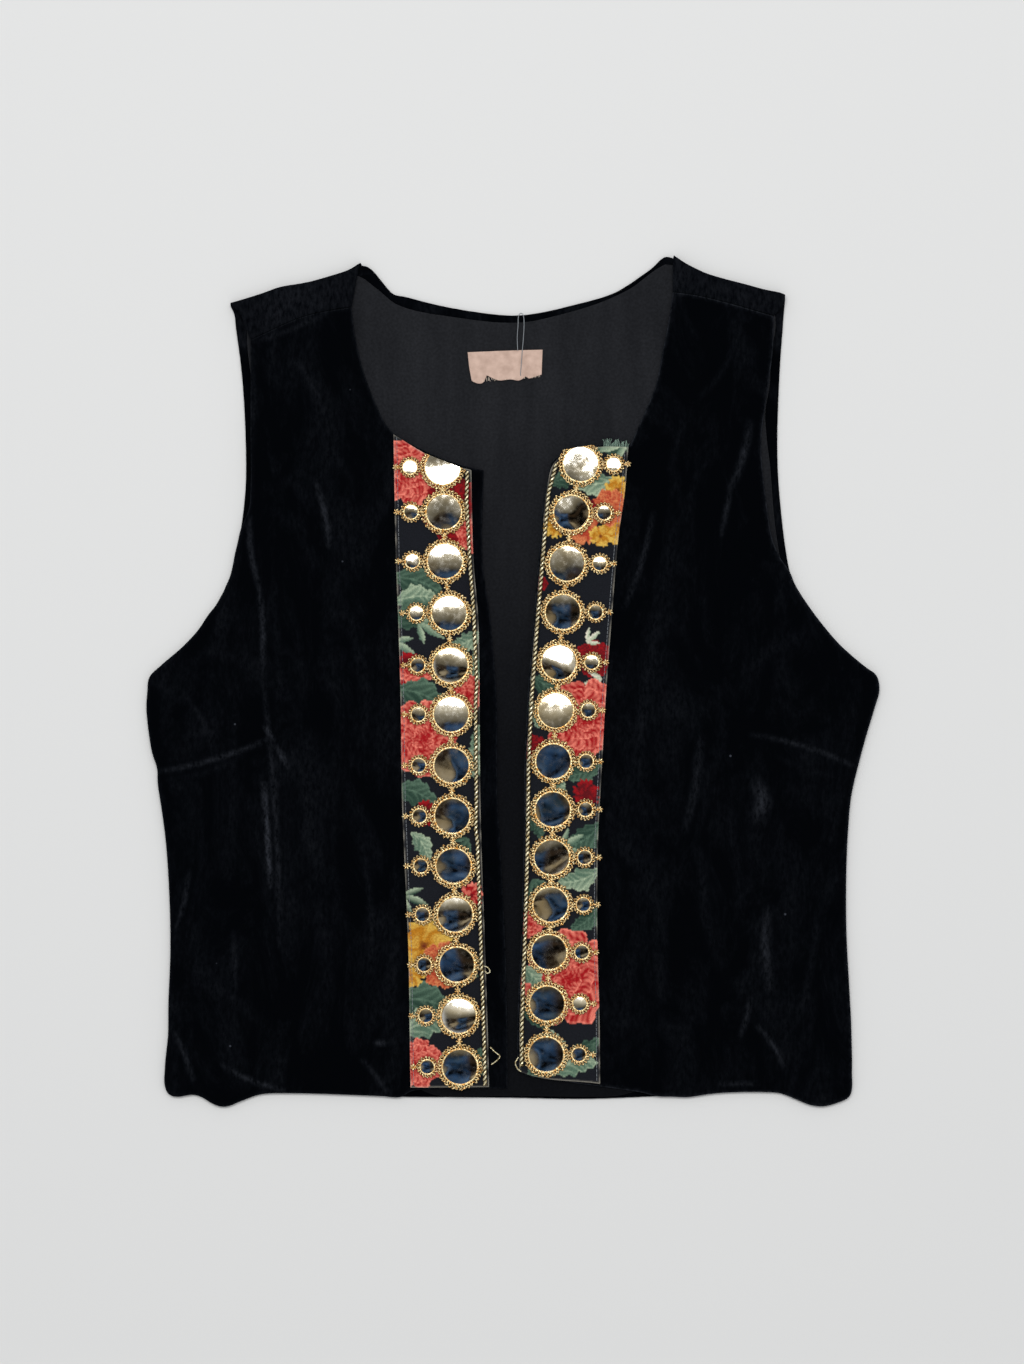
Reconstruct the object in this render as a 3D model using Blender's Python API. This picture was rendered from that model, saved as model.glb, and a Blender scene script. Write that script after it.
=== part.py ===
"""A black velvet vest with mirror-work bands, laid flat on its back with the fronts up.

Millimetres in the tables, metres in the model. +Z is up, +Y runs from hem to neck,
and X runs across the garment. The underside of the back panel rests on z = 0.
Every cloth piece is cut flat from an outline, then laid: each of its points gets a
height from the layers below it, and the wall is the cloth's thickness above that.
"""
import math
from collections import namedtuple

import bpy
from mathutils import Vector
from mathutils.geometry import delaunay_2d_cdt

MM = 0.001

# Cloth and trim thicknesses
VELVET = 1.6
LINING = 1.0
BAND_CLOTH = 1.0
LABEL_CLOTH = 1.0
GOLDWORK = 1.5
MIRROR = 0.8
MIRROR_DOME = 0.4
CORD_RADIUS = 1.3
SEAM_GAP = 0.3

# Heights of the layers, from the surface that the vest lies on
LINING_FLOOR = VELVET + SEAM_GAP
FRONT_EDGE_FLOOR = VELVET + SEAM_GAP
FRONT_FLOOR = LINING_FLOOR + LINING + SEAM_GAP
BAND_FLOOR = FRONT_FLOOR + VELVET + SEAM_GAP
TRIM_FLOOR = BAND_FLOOR + BAND_CLOTH + SEAM_GAP
LABEL_FLOOR = LINING_FLOOR + LINING + SEAM_GAP

# The fronts roll down to the back within this much of their side and hem edges
EDGE_ROLL = 5.0
SWELL_FADE = 38.0
BAND_FADE = 30.0
SHOULDER_LIFT = 1.0
SHOULDER_LIFT_START = 190.0
SHOULDER_LIFT_END = 214.0

# The back velvet folds over the shoulders to meet the fronts at forward seams
FOLD_RADIUS = (FRONT_FLOOR + SHOULDER_LIFT) / 2
FOLD_OUTER = FOLD_RADIUS + VELVET / 2
FOLD_STEPS = 5

# Mirror-work
LARGE_RING = 13.8
LARGE_SEAT = 11.3
LARGE_MIRROR = 11.0
SMALL_RING = 6.8
CORD_TO_LARGE = 15.5
LARGE_TO_SMALL = 20.6
LINK_WIDTH = 5.0
LINK_START = 12.0
RING_SIDES = 24
SEAT_SIDES = 18
SMALL_SIDES = 10

# Spacing of the mesh points
OUTLINE_STEP = 10.0
BACK_STEP = 32.0
FRONT_STEP = 17.0
BAND_STEP = 24.0
CORD_STEP = 9.0
SHOULDER_STEP = 15.0

# Outlines as x, y in millimetres, each run a smooth curve between two corners
LEFT_SIDE = (
    (-212, -260), (-218.9, -252.6), (-218.5, -222), (-216.2, -175), (-216.5, -140),
    (-219, -100), (-223.5, -68), (-228.5, -40), (-231.2, -15), (-229.4, 3),
)
LEFT_UNDERARM = (
    (-229.4, 3), (-222, 10.7), (-209.5, 21.4), (-200, 31), (-191.5, 43), (-180.5, 55),
    (-175.5, 80), (-171.5, 97),
)
LEFT_ARMHOLE = (
    (-171.5, 97), (-168.8, 120), (-168.5, 146), (-169.8, 178), (-172, 203), (-175.3, 228),
    (-174.5, 237),
)
BACK_NECK = (
    (-95, 258.6), (-86.6, 256), (-77, 247.2), (-67.7, 243.2), (-39.4, 236.2), (-1.6, 231.2),
    (17.3, 233.1), (36.2, 237.5), (64.6, 245.7), (83.5, 258.3), (92.9, 264.6), (101.5, 265.5),
)
RIGHT_ARMHOLE = (
    (170.8, 240), (170.4, 228), (168.5, 203), (167.3, 178), (166.6, 152.5), (167.3, 127),
    (171, 89.5), (174.2, 70),
)
RIGHT_UNDERARM = (
    (174.2, 70), (178, 61), (190.6, 42.2), (206.3, 23.3), (217, 13.9), (229, 4.4),
)
RIGHT_SIDE = (
    (229, 4.4), (230.9, -5), (228.4, -14.5), (222.7, -33.4), (217.7, -52), (213.3, -71),
    (211.4, -90), (210.1, -118), (210.1, -156), (212, -194), (213.3, -222), (212.6, -254),
    (206, -263.3),
)
HEM_RIGHT = (
    (206, -263.3), (197, -267.1), (188, -266.6), (178, -262.7), (168.5, -259),
    (140, -258.4), (112, -260.2), (92, -261),
)
HEM_CENTRE = ((92, -261), (45.7, -262.7), (0, -262), (-71, -261.4))
HEM_LEFT = (
    (-71, -261.4), (-115, -259.6), (-143, -259), (-160, -259.8), (-171.7, -264),
    (-181, -267.2), (-190.6, -264), (-200, -260), (-212, -260),
)

# Crest of the shoulder folds, seen from above
LEFT_SHOULDER_CREST = (
    (-177, 239.8), (-162, 244), (-143, 250), (-124, 253.3), (-105.5, 259.6), (-94, 262.4),
)
RIGHT_SHOULDER_CREST = (
    (98, 269.5), (102.4, 267.8), (111.8, 262.1), (121.3, 257.7), (140, 252.6), (159, 248.2),
    (173, 241.5),
)

# Forward shoulder seams, and the folded-over back cloth's own ends beside them
LEFT_SHOULDER_SEAM = ((-101.7, 236.2), (-117.5, 233.7), (-135, 229.3), (-165.4, 215.5))
RIGHT_SHOULDER_SEAM = ((164.1, 230.6), (138.3, 238.1), (115, 243.8), (100.5, 245.7))
LEFT_NECK_TURN = (-98, 256)
LEFT_ARM_TURN = (-169.5, 226)
RIGHT_NECK_TURN = (100.5, 261)
RIGHT_ARM_TURN = (168.5, 235)

# The x of the cloth's edge where it starts and ends its turn over each shoulder
LEFT_NECK_FOLD = (-95.4, -97)
LEFT_ARM_FOLD = (-174.4, -172.6)
RIGHT_NECK_FOLD = (101.6, 100.9)
RIGHT_ARM_FOLD = (170.6, 170)
FOLDED_REACH = ((-169, -99), (105, 166))

# Neck and armhole edges of the fronts
LEFT_NECKLINE = (
    (-18.5, 133.5), (-33.7, 137.2), (-53.9, 145), (-77.2, 158.8), (-86.6, 175.8),
    (-94.2, 195.9), (-99.2, 216.7), (-101.7, 236.2),
)
LEFT_FRONT_ARMHOLE = ((-165.4, 215.5), (-165.4, 162.5), (-166, 111.5), (-171.5, 97))
RIGHT_NECKLINE = (
    (100.5, 245.7), (98, 228), (94.2, 209), (89.8, 187), (83.5, 171.4), (73.8, 149.6),
)
RIGHT_BAND_TOP = ((73.8, 149.6), (56.4, 149.9), (45, 148.4), (25.4, 140.4))
RIGHT_FRONT_ARMHOLE = (
    (174.2, 70), (167.9, 79), (162.9, 91), (159.1, 116), (156.6, 141), (156.6, 156),
    (159, 175), (163.5, 209), (164.1, 230.6),
)
LEFT_FRONT_HEM = ((-3.5, -256), (-46, -256.2), (-64, -257.6), (-71, -261.4))
RIGHT_FRONT_HEM = (
    (92, -261), (80.3, -258.3), (53.9, -254.5), (21.7, -250.1), (7.9, -247.6), (2.6, -243.6),
)

# The opening, row by row from neck to hem: x of the velvet's edge, of the band's inner
# edge and of the band's outer edge
OPENING_COLUMNS = ("y", "velvet_edge", "band_inner", "band_outer")
OPENING = {
    "left": (
        (133.5, -18.5, -26.3, -75.8), (77, -19.2, -24.9, -73.8), (39, -14.2, -21.9, -72.4),
        (-11, -10.4, -21.1, -70.9), (-74, -9.8, -20.6, -70.0), (-106, -7.9, -19.8, -68.7),
        (-169, -4.7, -17.6, -66.0), (-232, -3.5, -15.6, -65.0), (-256, -3.5, -15.1, -64.6),
    ),
    "right": (
        (140.4, 25.4, 26.6, 73.4), (120, 19.8, 21.0, 70.4), (92.6, 17.3, 18.5, 66.5),
        (45, 13.3, 14.5, 62.5), (-9, 9.1, 10.3, 58.4), (-50, 7.2, 8.4, 56.1),
        (-102, 6.6, 7.8, 53.4), (-166, 4.7, 5.9, 53.2), (-210, 2.8, 4.2, 54.4),
        (-243.6, 2.6, 3.8, 54.8),
    ),
}
BAND_TOP = {
    "left": ((-26.3, 133.6), (-34, 135.6), (-53.9, 143.4), (-75.4, 156.2)),
    "right": ((27, 139.6), (45, 146.8), (56.4, 148.4), (72.6, 148.2)),
}
BAND_FOOT = {"left": (-254.8, -255.2), "right": (-245.2, -252.8)}
CORD_INSET = {"left": 2.5, "right": 1.4}
CORD_ENDS = {"left": (132.5, -253.5), "right": (137.5, -241.5)}
OUTWARD = {"left": -1.0, "right": 1.0}

# Height up the garment of each pair of mirrors, neck to hem
MIRROR_ROWS = {
    "left": (135.4, 107.1, 76.2, 43.5, 10.7, -20.2, -52.3, -84.1, -115.6, -146.2, -177.7,
             -209.8, -242),
    "right": (137.3, 106.5, 74.7, 44.1, 12.6, -17.6, -49.8, -80, -110.2, -139.9, -169.8,
              -202.2, -234.2),
}

# Folds of the fronts: broad swells stand up, darts and creases are pressed in
Fold = namedtuple("Fold", "side x0 y0 x1 y1 half_width height")
FRONT_FOLDS = {
    "left bust swell": Fold("left", -128, 42, -118, -8, 58, 7.5),
    "left skirt swell": Fold("left", -142, -118, -134, -200, 46, 4.5),
    "left chest swell": Fold("left", -136, 150, -130, 115, 26, 2.4),
    "left dart": Fold("left", -224, -57, -152, -35, 6, -2.4),
    "left upper long crease": Fold("left", -164, 88, -158, 8, 8, -2.6),
    "left lower long crease": Fold("left", -158, 8, -148, -160, 8, -2.2),
    "left chest crease": Fold("left", -124, 125, -116, 87, 7, -1.4),
    "left hem crease": Fold("left", -184, -238, -146, -252, 7, -1.8),
    "right bust swell": Fold("right", 138, 46, 129, -4, 56, 7.5),
    "right skirt swell": Fold("right", 137, -122, 130, -204, 44, 4.5),
    "right chest swell": Fold("right", 127, 182, 122, 120, 24, 2.4),
    "right dart": Fold("right", 217, -54, 150, -33, 6, -2.4),
    "right armhole crease": Fold("right", 149, 158, 131, 94, 8, -2.0),
    "right waist crease": Fold("right", 118, -35, 108, -93, 8, -2.0),
    "right skirt crease": Fold("right", 160, -143, 162, -192, 7, -1.8),
    "right hem crease": Fold("right", 146, -204, 168, -238, 7, -1.8),
}
CREASE_LIMIT = 12.0
CREASE_STEP = 17.0

# The lining of the back ends inside a turned velvet rim
LINING_OUTLINE = (
    (-94, 250.5), (-85, 247), (-74, 238.5), (-36, 230), (4.7, 226.8), (30, 231.8), (55, 239.4),
    (74, 248.2), (90, 259), (101, 260.5), (108, 256), (121, 249.5), (140, 244.5), (159, 240),
    (164.5, 234), (164.5, 203), (163, 178), (162.2, 152), (162.8, 127), (166.5, 89), (173, 60),
    (185, 40), (200, 21), (212, 10), (223, -2), (221.4, -14), (210.4, -50), (205.3, -90),
    (204, -118), (204.5, -165), (207, -222), (206.5, -249), (195, -257), (168, -252.5),
    (140, -251.6), (100, -254), (80, -257.2), (66, -260.6), (46, -261.2), (0, -260.6), (-50, -260),
    (-64, -254.6), (-78, -253.8), (-100, -253.4), (-158, -251), (-190, -255), (-205, -253.8),
    (-212.3, -248), (-212.2, -222), (-210, -175), (-210.4, -140), (-212.8, -100),
    (-217.3, -68), (-222.3, -40), (-225, -15), (-222, -1), (-206, 14.6), (-195, 26), (-186, 39),
    (-174.5, 55), (-169, 82), (-163, 105), (-162.4, 146), (-163.6, 178), (-167.5, 225),
    (-165, 235), (-143, 242), (-124, 246), (-106, 251.2),
)
LABEL_OUTLINE = (
    (-28.7, 208), (-27.6, 198), (-26.1, 189.8), (-22, 188.2), (-19.2, 188.6), (-16.5, 193.2),
    (-9.1, 190.2), (-2, 190.8), (4.1, 190.2), (8, 192.6), (10, 191.2), (18, 193.8), (18.6, 209.6),
    (2, 209.2),
)

MATERIALS = {
    "cotton_velvet": ((0.004, 0.004, 0.006), 0.9, 0.0),
    "cotton_lining": ((0.021, 0.024, 0.029), 0.95, 0.0),
    "printed_cotton": ((0.12, 0.03, 0.025), 0.9, 0.0),
    "gold_thread": ((0.62, 0.40, 0.14), 0.45, 0.6),
    "mirror_foil": ((0.72, 0.76, 0.80), 0.12, 1.0),
    "woven_ribbon": ((0.75, 0.62, 0.52), 0.9, 0.0),
}


def clear_scene():
    """Start from nothing, so the model holds only the vest."""
    for thing in list(bpy.data.objects):
        bpy.data.objects.remove(thing, do_unlink=True)


def material(name):
    """One plain finish for each real material."""
    if name in bpy.data.materials:
        return bpy.data.materials[name]
    colour, roughness, metallic = MATERIALS[name]
    finish = bpy.data.materials.new(name)
    finish.use_nodes = True
    shader = finish.node_tree.nodes["Principled BSDF"]
    shader.inputs["Base Color"].default_value = (*colour, 1.0)
    shader.inputs["Roughness"].default_value = roughness
    shader.inputs["Metallic"].default_value = metallic
    return finish


def ease(t):
    """A smooth step from 0 to 1."""
    t = min(max(t, 0.0), 1.0)
    return t * t * (3.0 - 2.0 * t)


def tangent(points, i):
    """The direction of a smooth curve at one of its hand-set points."""
    before = points[max(i - 1, 0)]
    after = points[min(i + 1, len(points) - 1)]
    span = math.dist(before, points[i]) + math.dist(points[i], after)
    return ((after[0] - before[0]) / span, (after[1] - before[1]) / span)


def smooth_run(points, step):
    """Points about `step` apart on a smooth curve, without the curve's last point."""
    run = []
    for i in range(len(points) - 1):
        start, end = points[i], points[i + 1]
        length = math.dist(start, end)
        leave, arrive = tangent(points, i), tangent(points, i + 1)
        pieces = max(1, round(length / step))
        for k in range(pieces):
            t = k / pieces
            weights = (
                2 * t**3 - 3 * t**2 + 1, (t**3 - 2 * t**2 + t) * length,
                3 * t**2 - 2 * t**3, (t**3 - t**2) * length,
            )
            run.append(tuple(
                weights[0] * start[axis] + weights[1] * leave[axis]
                + weights[2] * end[axis] + weights[3] * arrive[axis] for axis in (0, 1)))
    return run


def outline(*runs, step=OUTLINE_STEP):
    """Join smooth runs, which meet at corners, into one closed outline."""
    return [point for run in runs for point in smooth_run(run, step)]


def between(table, y, column):
    """A value of a table at height y, straight between its rows."""
    if y >= table[0][0]:
        return table[0][column]
    for upper, lower in zip(table, table[1:]):
        if y >= lower[0]:
            t = (upper[0] - y) / (upper[0] - lower[0])
            return upper[column] + (lower[column] - upper[column]) * t
    return table[-1][column]


def opening(side, y, name):
    """The x of a named edge of the opening at height y."""
    return between(OPENING[side], y, OPENING_COLUMNS.index(name))


def distance_to_run(point, run):
    """The shortest distance from a point to a chain of straight runs."""
    best = math.inf
    for start, end in zip(run, run[1:]):
        dx, dy = end[0] - start[0], end[1] - start[1]
        t = ((point[0] - start[0]) * dx + (point[1] - start[1]) * dy) / (dx * dx + dy * dy)
        t = min(max(t, 0.0), 1.0)
        best = min(best, math.hypot(point[0] - start[0] - t * dx, point[1] - start[1] - t * dy))
    return best


def is_inside(point, ring):
    """Whether a point lies within a closed outline."""
    inside = False
    for start, end in zip(ring, ring[1:] + ring[:1]):
        if (start[1] > point[1]) != (end[1] > point[1]):
            crossing = start[0] + (point[1] - start[1]) * (end[0] - start[0]) / (end[1] - start[1])
            inside ^= point[0] < crossing
    return inside


def fill_points(ring, step, margin, taken=(), clear=0.0):
    """A triangular grid of points within an outline, clear of points already taken."""
    points = list(taken)
    loop = ring + ring[:1]
    low_x, low_y = (min(p[axis] for p in ring) for axis in (0, 1))
    high_x, high_y = (max(p[axis] for p in ring) for axis in (0, 1))
    row_step = step * math.sqrt(3) / 2
    rows = round((high_y - low_y) / row_step)
    for row in range(1, rows):
        y = low_y + (high_y - low_y) * row / rows
        x = low_x + step * (0.5 if row % 2 else 1.0)
        while x < high_x:
            point = (x, y)
            x += step
            if not is_inside(point, ring) or distance_to_run(point, loop) < margin:
                continue
            if any(math.dist(point, other) < clear for other in taken):
                continue
            points.append(point)
    return points


def cut(shapes, points, wanted, pressed_lines=()):
    """Triangulate outlines over shared points, and keep the triangles that are wanted.

    `wanted` gets the set of outlines that a triangle lies in. No triangle crosses a
    pressed line.
    """
    corners, faces, edges = [], [], []
    for ring in shapes:
        faces.append(list(range(len(corners), len(corners) + len(ring))))
        corners.extend(Vector(p) for p in ring)
    for line in pressed_lines:
        first = len(corners)
        edges.extend((first + k, first + k + 1) for k in range(len(line) - 1))
        corners.extend(Vector(p) for p in line)
    corners.extend(Vector(p) for p in points)
    flat, _, triangles, _, _, owners = delaunay_2d_cdt(corners, edges, faces, 1, 1e-3, True)
    kept = [tri for tri, owner in zip(triangles, owners) if wanted(set(owner))]
    return [tuple(p) for p in flat], kept


def wall(name, flat, triangles, under, over, finish):
    """A closed cloth wall over a flat cut: `under` and `over` place its two faces."""
    used = sorted({i for tri in triangles for i in tri})
    order = {old: new for new, old in enumerate(used)}
    count = len(used)
    points = [under(*flat[i]) for i in used] + [over(*flat[i]) for i in used]
    faces = []
    edges = {}
    for tri in triangles:
        a, b, c = (order[i] for i in tri)
        faces.append((a + count, b + count, c + count))
        faces.append((c, b, a))
        for edge in ((a, b), (b, c), (c, a)):
            edges[edge] = True
    for a, b in edges:
        if (b, a) not in edges:
            faces.append((a, b, b + count, a + count))
    mesh = bpy.data.meshes.new(name)
    mesh.from_pydata([tuple(v * MM for v in p) for p in points], [], faces)
    mesh.materials.append(material(finish))
    mesh.shade_smooth()
    mesh.set_sharp_from_angle(angle=math.radians(40))
    mesh.update()
    piece = bpy.data.objects.new(name, mesh)
    bpy.context.scene.collection.objects.link(piece)
    return piece


def level(height):
    """Lay points at one height."""
    return lambda x, y: (x, y, height)


def crest(x):
    """The y of the shoulder's fold at x, or far away where nothing folds."""
    for run in (LEFT_SHOULDER_CREST, RIGHT_SHOULDER_CREST):
        if run[0][0] <= x <= run[-1][0]:
            for start, end in zip(run, run[1:]):
                if x <= end[0]:
                    t = (x - start[0]) / (end[0] - start[0])
                    return start[1] + (end[1] - start[1]) * t
    return math.inf


def fold_start(x):
    """The y at which the back cloth starts to turn up over the shoulder."""
    return crest(x) - FOLD_OUTER


def folded(x, y):
    """Where a spot seen on the folded-over cloth lies on the flat cut."""
    return (x, 2 * fold_start(x) + math.pi * FOLD_RADIUS - y)


def across_fold(x_start, x_end):
    """Points of the flat cut's edge where it turns over the shoulder."""
    run = []
    for k in range(FOLD_STEPS + 1):
        x = x_start + (x_end - x_start) * k / FOLD_STEPS
        run.append((x, fold_start(x) + math.pi * FOLD_RADIUS * k / FOLD_STEPS))
    return run


def seam_edge(seam):
    """The end of the folded-over cloth, beside a forward shoulder seam, on the flat cut."""
    run = smooth_run(seam, OUTLINE_STEP) + [seam[-1]]
    return [folded(x, y + SEAM_GAP) for x, y in run]


def lay_back(offset):
    """Lay the back: flat, then round the shoulder fold, then back over itself.

    `offset` is the distance from the middle of the cloth to a face, towards the outside.
    """
    def place(x, y):
        past = y - fold_start(x)
        if past <= 0 or not math.isfinite(past):
            return (x, y, VELVET / 2 - offset)
        turn = min(past / FOLD_RADIUS, math.pi)
        beyond = max(past - math.pi * FOLD_RADIUS, 0.0)
        reach = (FOLD_RADIUS + offset) * math.sin(turn)
        rise = FOLD_RADIUS - (FOLD_RADIUS + offset) * math.cos(turn)
        return (x, fold_start(x) + reach - beyond, VELVET / 2 + rise)
    return place


def back_panel():
    """The velvet back, with its cloth folded over both shoulders."""
    ring = outline(HEM_LEFT[::-1], HEM_CENTRE[::-1], HEM_RIGHT[::-1], RIGHT_SIDE[::-1],
                   RIGHT_UNDERARM[::-1], RIGHT_ARMHOLE[::-1])
    ring += across_fold(*RIGHT_ARM_FOLD)
    ring += [folded(*RIGHT_ARM_TURN)] + seam_edge(RIGHT_SHOULDER_SEAM) + [folded(*RIGHT_NECK_TURN)]
    ring += across_fold(*RIGHT_NECK_FOLD)[::-1]
    ring += outline(BACK_NECK[::-1])[1:]
    ring += across_fold(*LEFT_NECK_FOLD)
    ring += [folded(*LEFT_NECK_TURN)] + seam_edge(LEFT_SHOULDER_SEAM) + [folded(*LEFT_ARM_TURN)]
    ring += across_fold(*LEFT_ARM_FOLD)[::-1]
    ring += outline(LEFT_ARMHOLE[::-1], LEFT_UNDERARM[::-1], LEFT_SIDE[::-1])[1:]
    turns = (across_fold(*LEFT_ARM_FOLD), across_fold(*LEFT_NECK_FOLD),
             across_fold(*RIGHT_NECK_FOLD), across_fold(*RIGHT_ARM_FOLD))
    rows = []
    for (first, last), start, end in zip(FOLDED_REACH, turns[::2], turns[1::2]):
        count = round((last - first) / SHOULDER_STEP)
        for k in range(FOLD_STEPS + 1):
            columns = [first + (last - first) * column / count for column in range(count + 1)]
            past = math.pi * FOLD_RADIUS * k / FOLD_STEPS
            rows.append([start[k]] + [(x, fold_start(x) + past) for x in columns] + [end[k]])
    taken = [point for row in rows for point in row]
    points = fill_points(ring, BACK_STEP, BACK_STEP * 0.4, taken, BACK_STEP * 0.35)
    flat, triangles = cut([ring], points[len(taken):], lambda owner: owner == {0}, rows)
    return wall("back_panel", flat, triangles, lay_back(VELVET / 2), lay_back(-VELVET / 2),
                "cotton_velvet")


def back_lining():
    """The charcoal lining that shows at the neck, the armhole and between the fronts."""
    ring = list(LINING_OUTLINE)[::-1]
    points = fill_points(ring, BACK_STEP, BACK_STEP * 0.4)
    flat, triangles = cut([ring], points, lambda owner: owner == {0})
    return wall("back_lining", flat, triangles, level(LINING_FLOOR),
                level(LINING_FLOOR + LINING), "cotton_lining")


def front_outline(side):
    """The flat cut of one front, anticlockwise from its hem."""
    edge = [(row[1], row[0]) for row in OPENING[side]]
    if side == "left":
        return outline(HEM_LEFT[::-1], LEFT_FRONT_HEM[::-1], edge[::-1], LEFT_NECKLINE,
                       LEFT_SHOULDER_SEAM, LEFT_FRONT_ARMHOLE, LEFT_UNDERARM[::-1],
                       LEFT_SIDE[::-1])
    return outline(RIGHT_FRONT_HEM[::-1], HEM_RIGHT[::-1], RIGHT_SIDE[::-1],
                   RIGHT_UNDERARM[::-1], RIGHT_FRONT_ARMHOLE, RIGHT_SHOULDER_SEAM,
                   RIGHT_NECKLINE, RIGHT_BAND_TOP, edge)


def band_outline(side):
    """The printed band: it follows the opening, and its ends follow the neck and hem."""
    rows = [row[0] for row in OPENING[side]][1:-1]
    inner = [(opening(side, y, "band_inner"), y) for y in rows]
    outer = [(opening(side, y, "band_outer"), y) for y in rows]
    inner_foot, outer_foot = BAND_FOOT[side]
    foot = [(opening(side, outer_foot, "band_outer"), outer_foot),
            (opening(side, inner_foot, "band_inner"), inner_foot)]
    ring = inner[::-1] + list(BAND_TOP[side]) + outer + foot
    return ring if side == "left" else ring[::-1]


def swell(side, x, y):
    """How far the folds lift a front above its layers."""
    height = 0.0
    for fold in FRONT_FOLDS.values():
        if fold.side == side:
            line = ((fold.x0, fold.y0), (fold.x1, fold.y1))
            away = distance_to_run((x, y), line) / fold.half_width
            height += fold.height * math.exp(-away * away)
    return max(height, 0.0)


def front_floor(side, edges):
    """The height of a front's underside: rolled down at side and hem, lifted by its folds."""
    def height(x, y):
        from_edge = distance_to_run((x, y), edges)
        roll = ease(from_edge / EDGE_ROLL)
        from_band = OUTWARD[side] * (x - opening(side, y, "band_outer"))
        loose = ease(from_edge / SWELL_FADE) * ease(from_band / BAND_FADE)
        lift = SHOULDER_LIFT * ease(
            (y - SHOULDER_LIFT_START) / (SHOULDER_LIFT_END - SHOULDER_LIFT_START))
        floor = FRONT_EDGE_FLOOR + (FRONT_FLOOR - FRONT_EDGE_FLOOR) * roll
        return floor + lift + loose * swell(side, x, y)
    return height


def crease_points(side):
    """Points along each narrow fold and at its two sides, so the mesh bends there."""
    points = []
    for fold in FRONT_FOLDS.values():
        if fold.side != side or fold.half_width > CREASE_LIMIT:
            continue
        length = math.hypot(fold.x1 - fold.x0, fold.y1 - fold.y0)
        along = ((fold.x1 - fold.x0) / length, (fold.y1 - fold.y0) / length)
        count = round(length / CREASE_STEP)
        for k in range(count):
            reach = length * (k + 0.5) / count
            for sideways in (-fold.half_width, 0.0, fold.half_width):
                points.append((fold.x0 + along[0] * reach - along[1] * sideways,
                               fold.y0 + along[1] * reach + along[0] * sideways))
    return points


def roll_points(ring, edges):
    """Points where a front that rolls down to its side and hem has come to lie flat."""
    points = []
    loop = ring + ring[:1]
    for before, here, after in zip(ring[-1:] + ring[:-1], ring, ring[1:] + ring[:1]):
        if distance_to_run(here, edges) > 0.01:
            continue
        dx, dy = after[0] - before[0], after[1] - before[1]
        length = math.hypot(dx, dy)
        point = (here[0] - dy / length * EDGE_ROLL, here[1] + dx / length * EDGE_ROLL)
        if is_inside(point, ring) and distance_to_run(point, loop) > EDGE_ROLL * 0.75:
            points.append(point)
    return points


def front_and_band(side):
    """A velvet front and the printed band on it, which shares the front's points."""
    ring = front_outline(side)
    band = band_outline(side)
    runs = {"left": (HEM_LEFT, LEFT_SIDE, LEFT_UNDERARM),
            "right": (RIGHT_UNDERARM, RIGHT_SIDE, HEM_RIGHT)}[side]
    edges = outline(*runs) + [runs[-1][-1]]
    loop = ring + ring[:1]
    rolled = roll_points(ring, edges)
    creases = [p for p in crease_points(side)
               if is_inside(p, ring) and distance_to_run(p, loop) > EDGE_ROLL * 1.5]
    band_loop = band + band[:1]
    fill = fill_points(ring, FRONT_STEP, EDGE_ROLL * 2, rolled + creases, FRONT_STEP * 0.5)
    fill = [p for p in fill
            if not is_inside(p, band) and distance_to_run(p, band_loop) > FRONT_STEP * 0.35]
    inside = fill_points(band, BAND_STEP, BAND_STEP * 0.4)
    flat, triangles = cut([ring, band], fill + inside, lambda owner: 0 in owner)
    _, band_triangles = cut([ring, band], fill + inside, lambda owner: owner == {0, 1})
    floor = front_floor(side, edges)
    wall(f"front_{side}", flat, triangles, lambda x, y: (x, y, floor(x, y)),
         lambda x, y: (x, y, floor(x, y) + VELVET), "cotton_velvet")
    wall(f"band_{side}", flat, band_triangles,
         lambda x, y: (x, y, floor(x, y) + VELVET + SEAM_GAP),
         lambda x, y: (x, y, floor(x, y) + VELVET + SEAM_GAP + BAND_CLOTH), "printed_cotton")


def cord_x(side, y):
    """The middle of the gold cord along a band's inner edge."""
    return opening(side, y, "band_inner") + OUTWARD[side] * CORD_INSET[side]


def mirror_centres(side):
    """The centres of the large and the small mirror in each row of a band."""
    rows = []
    for y in MIRROR_ROWS[side]:
        large = cord_x(side, y) + OUTWARD[side] * CORD_TO_LARGE
        rows.append(((large, y), (large + OUTWARD[side] * LARGE_TO_SMALL, y)))
    return rows


def circle(centre, radius, sides):
    """A round outline."""
    return [(centre[0] + radius * math.cos(2 * math.pi * k / sides),
             centre[1] + radius * math.sin(2 * math.pi * k / sides)) for k in range(sides)]


def link(start, end):
    """A short stitched bridge between two centres."""
    length = math.dist(start, end)
    along = ((end[0] - start[0]) / length, (end[1] - start[1]) / length)
    across = (-along[1] * LINK_WIDTH / 2, along[0] * LINK_WIDTH / 2)
    near = (start[0] + along[0] * LINK_START, start[1] + along[1] * LINK_START)
    return [(near[0] - across[0], near[1] - across[1]), (end[0] - across[0], end[1] - across[1]),
            (end[0] + across[0], end[1] + across[1]), (near[0] + across[0], near[1] + across[1])]


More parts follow.
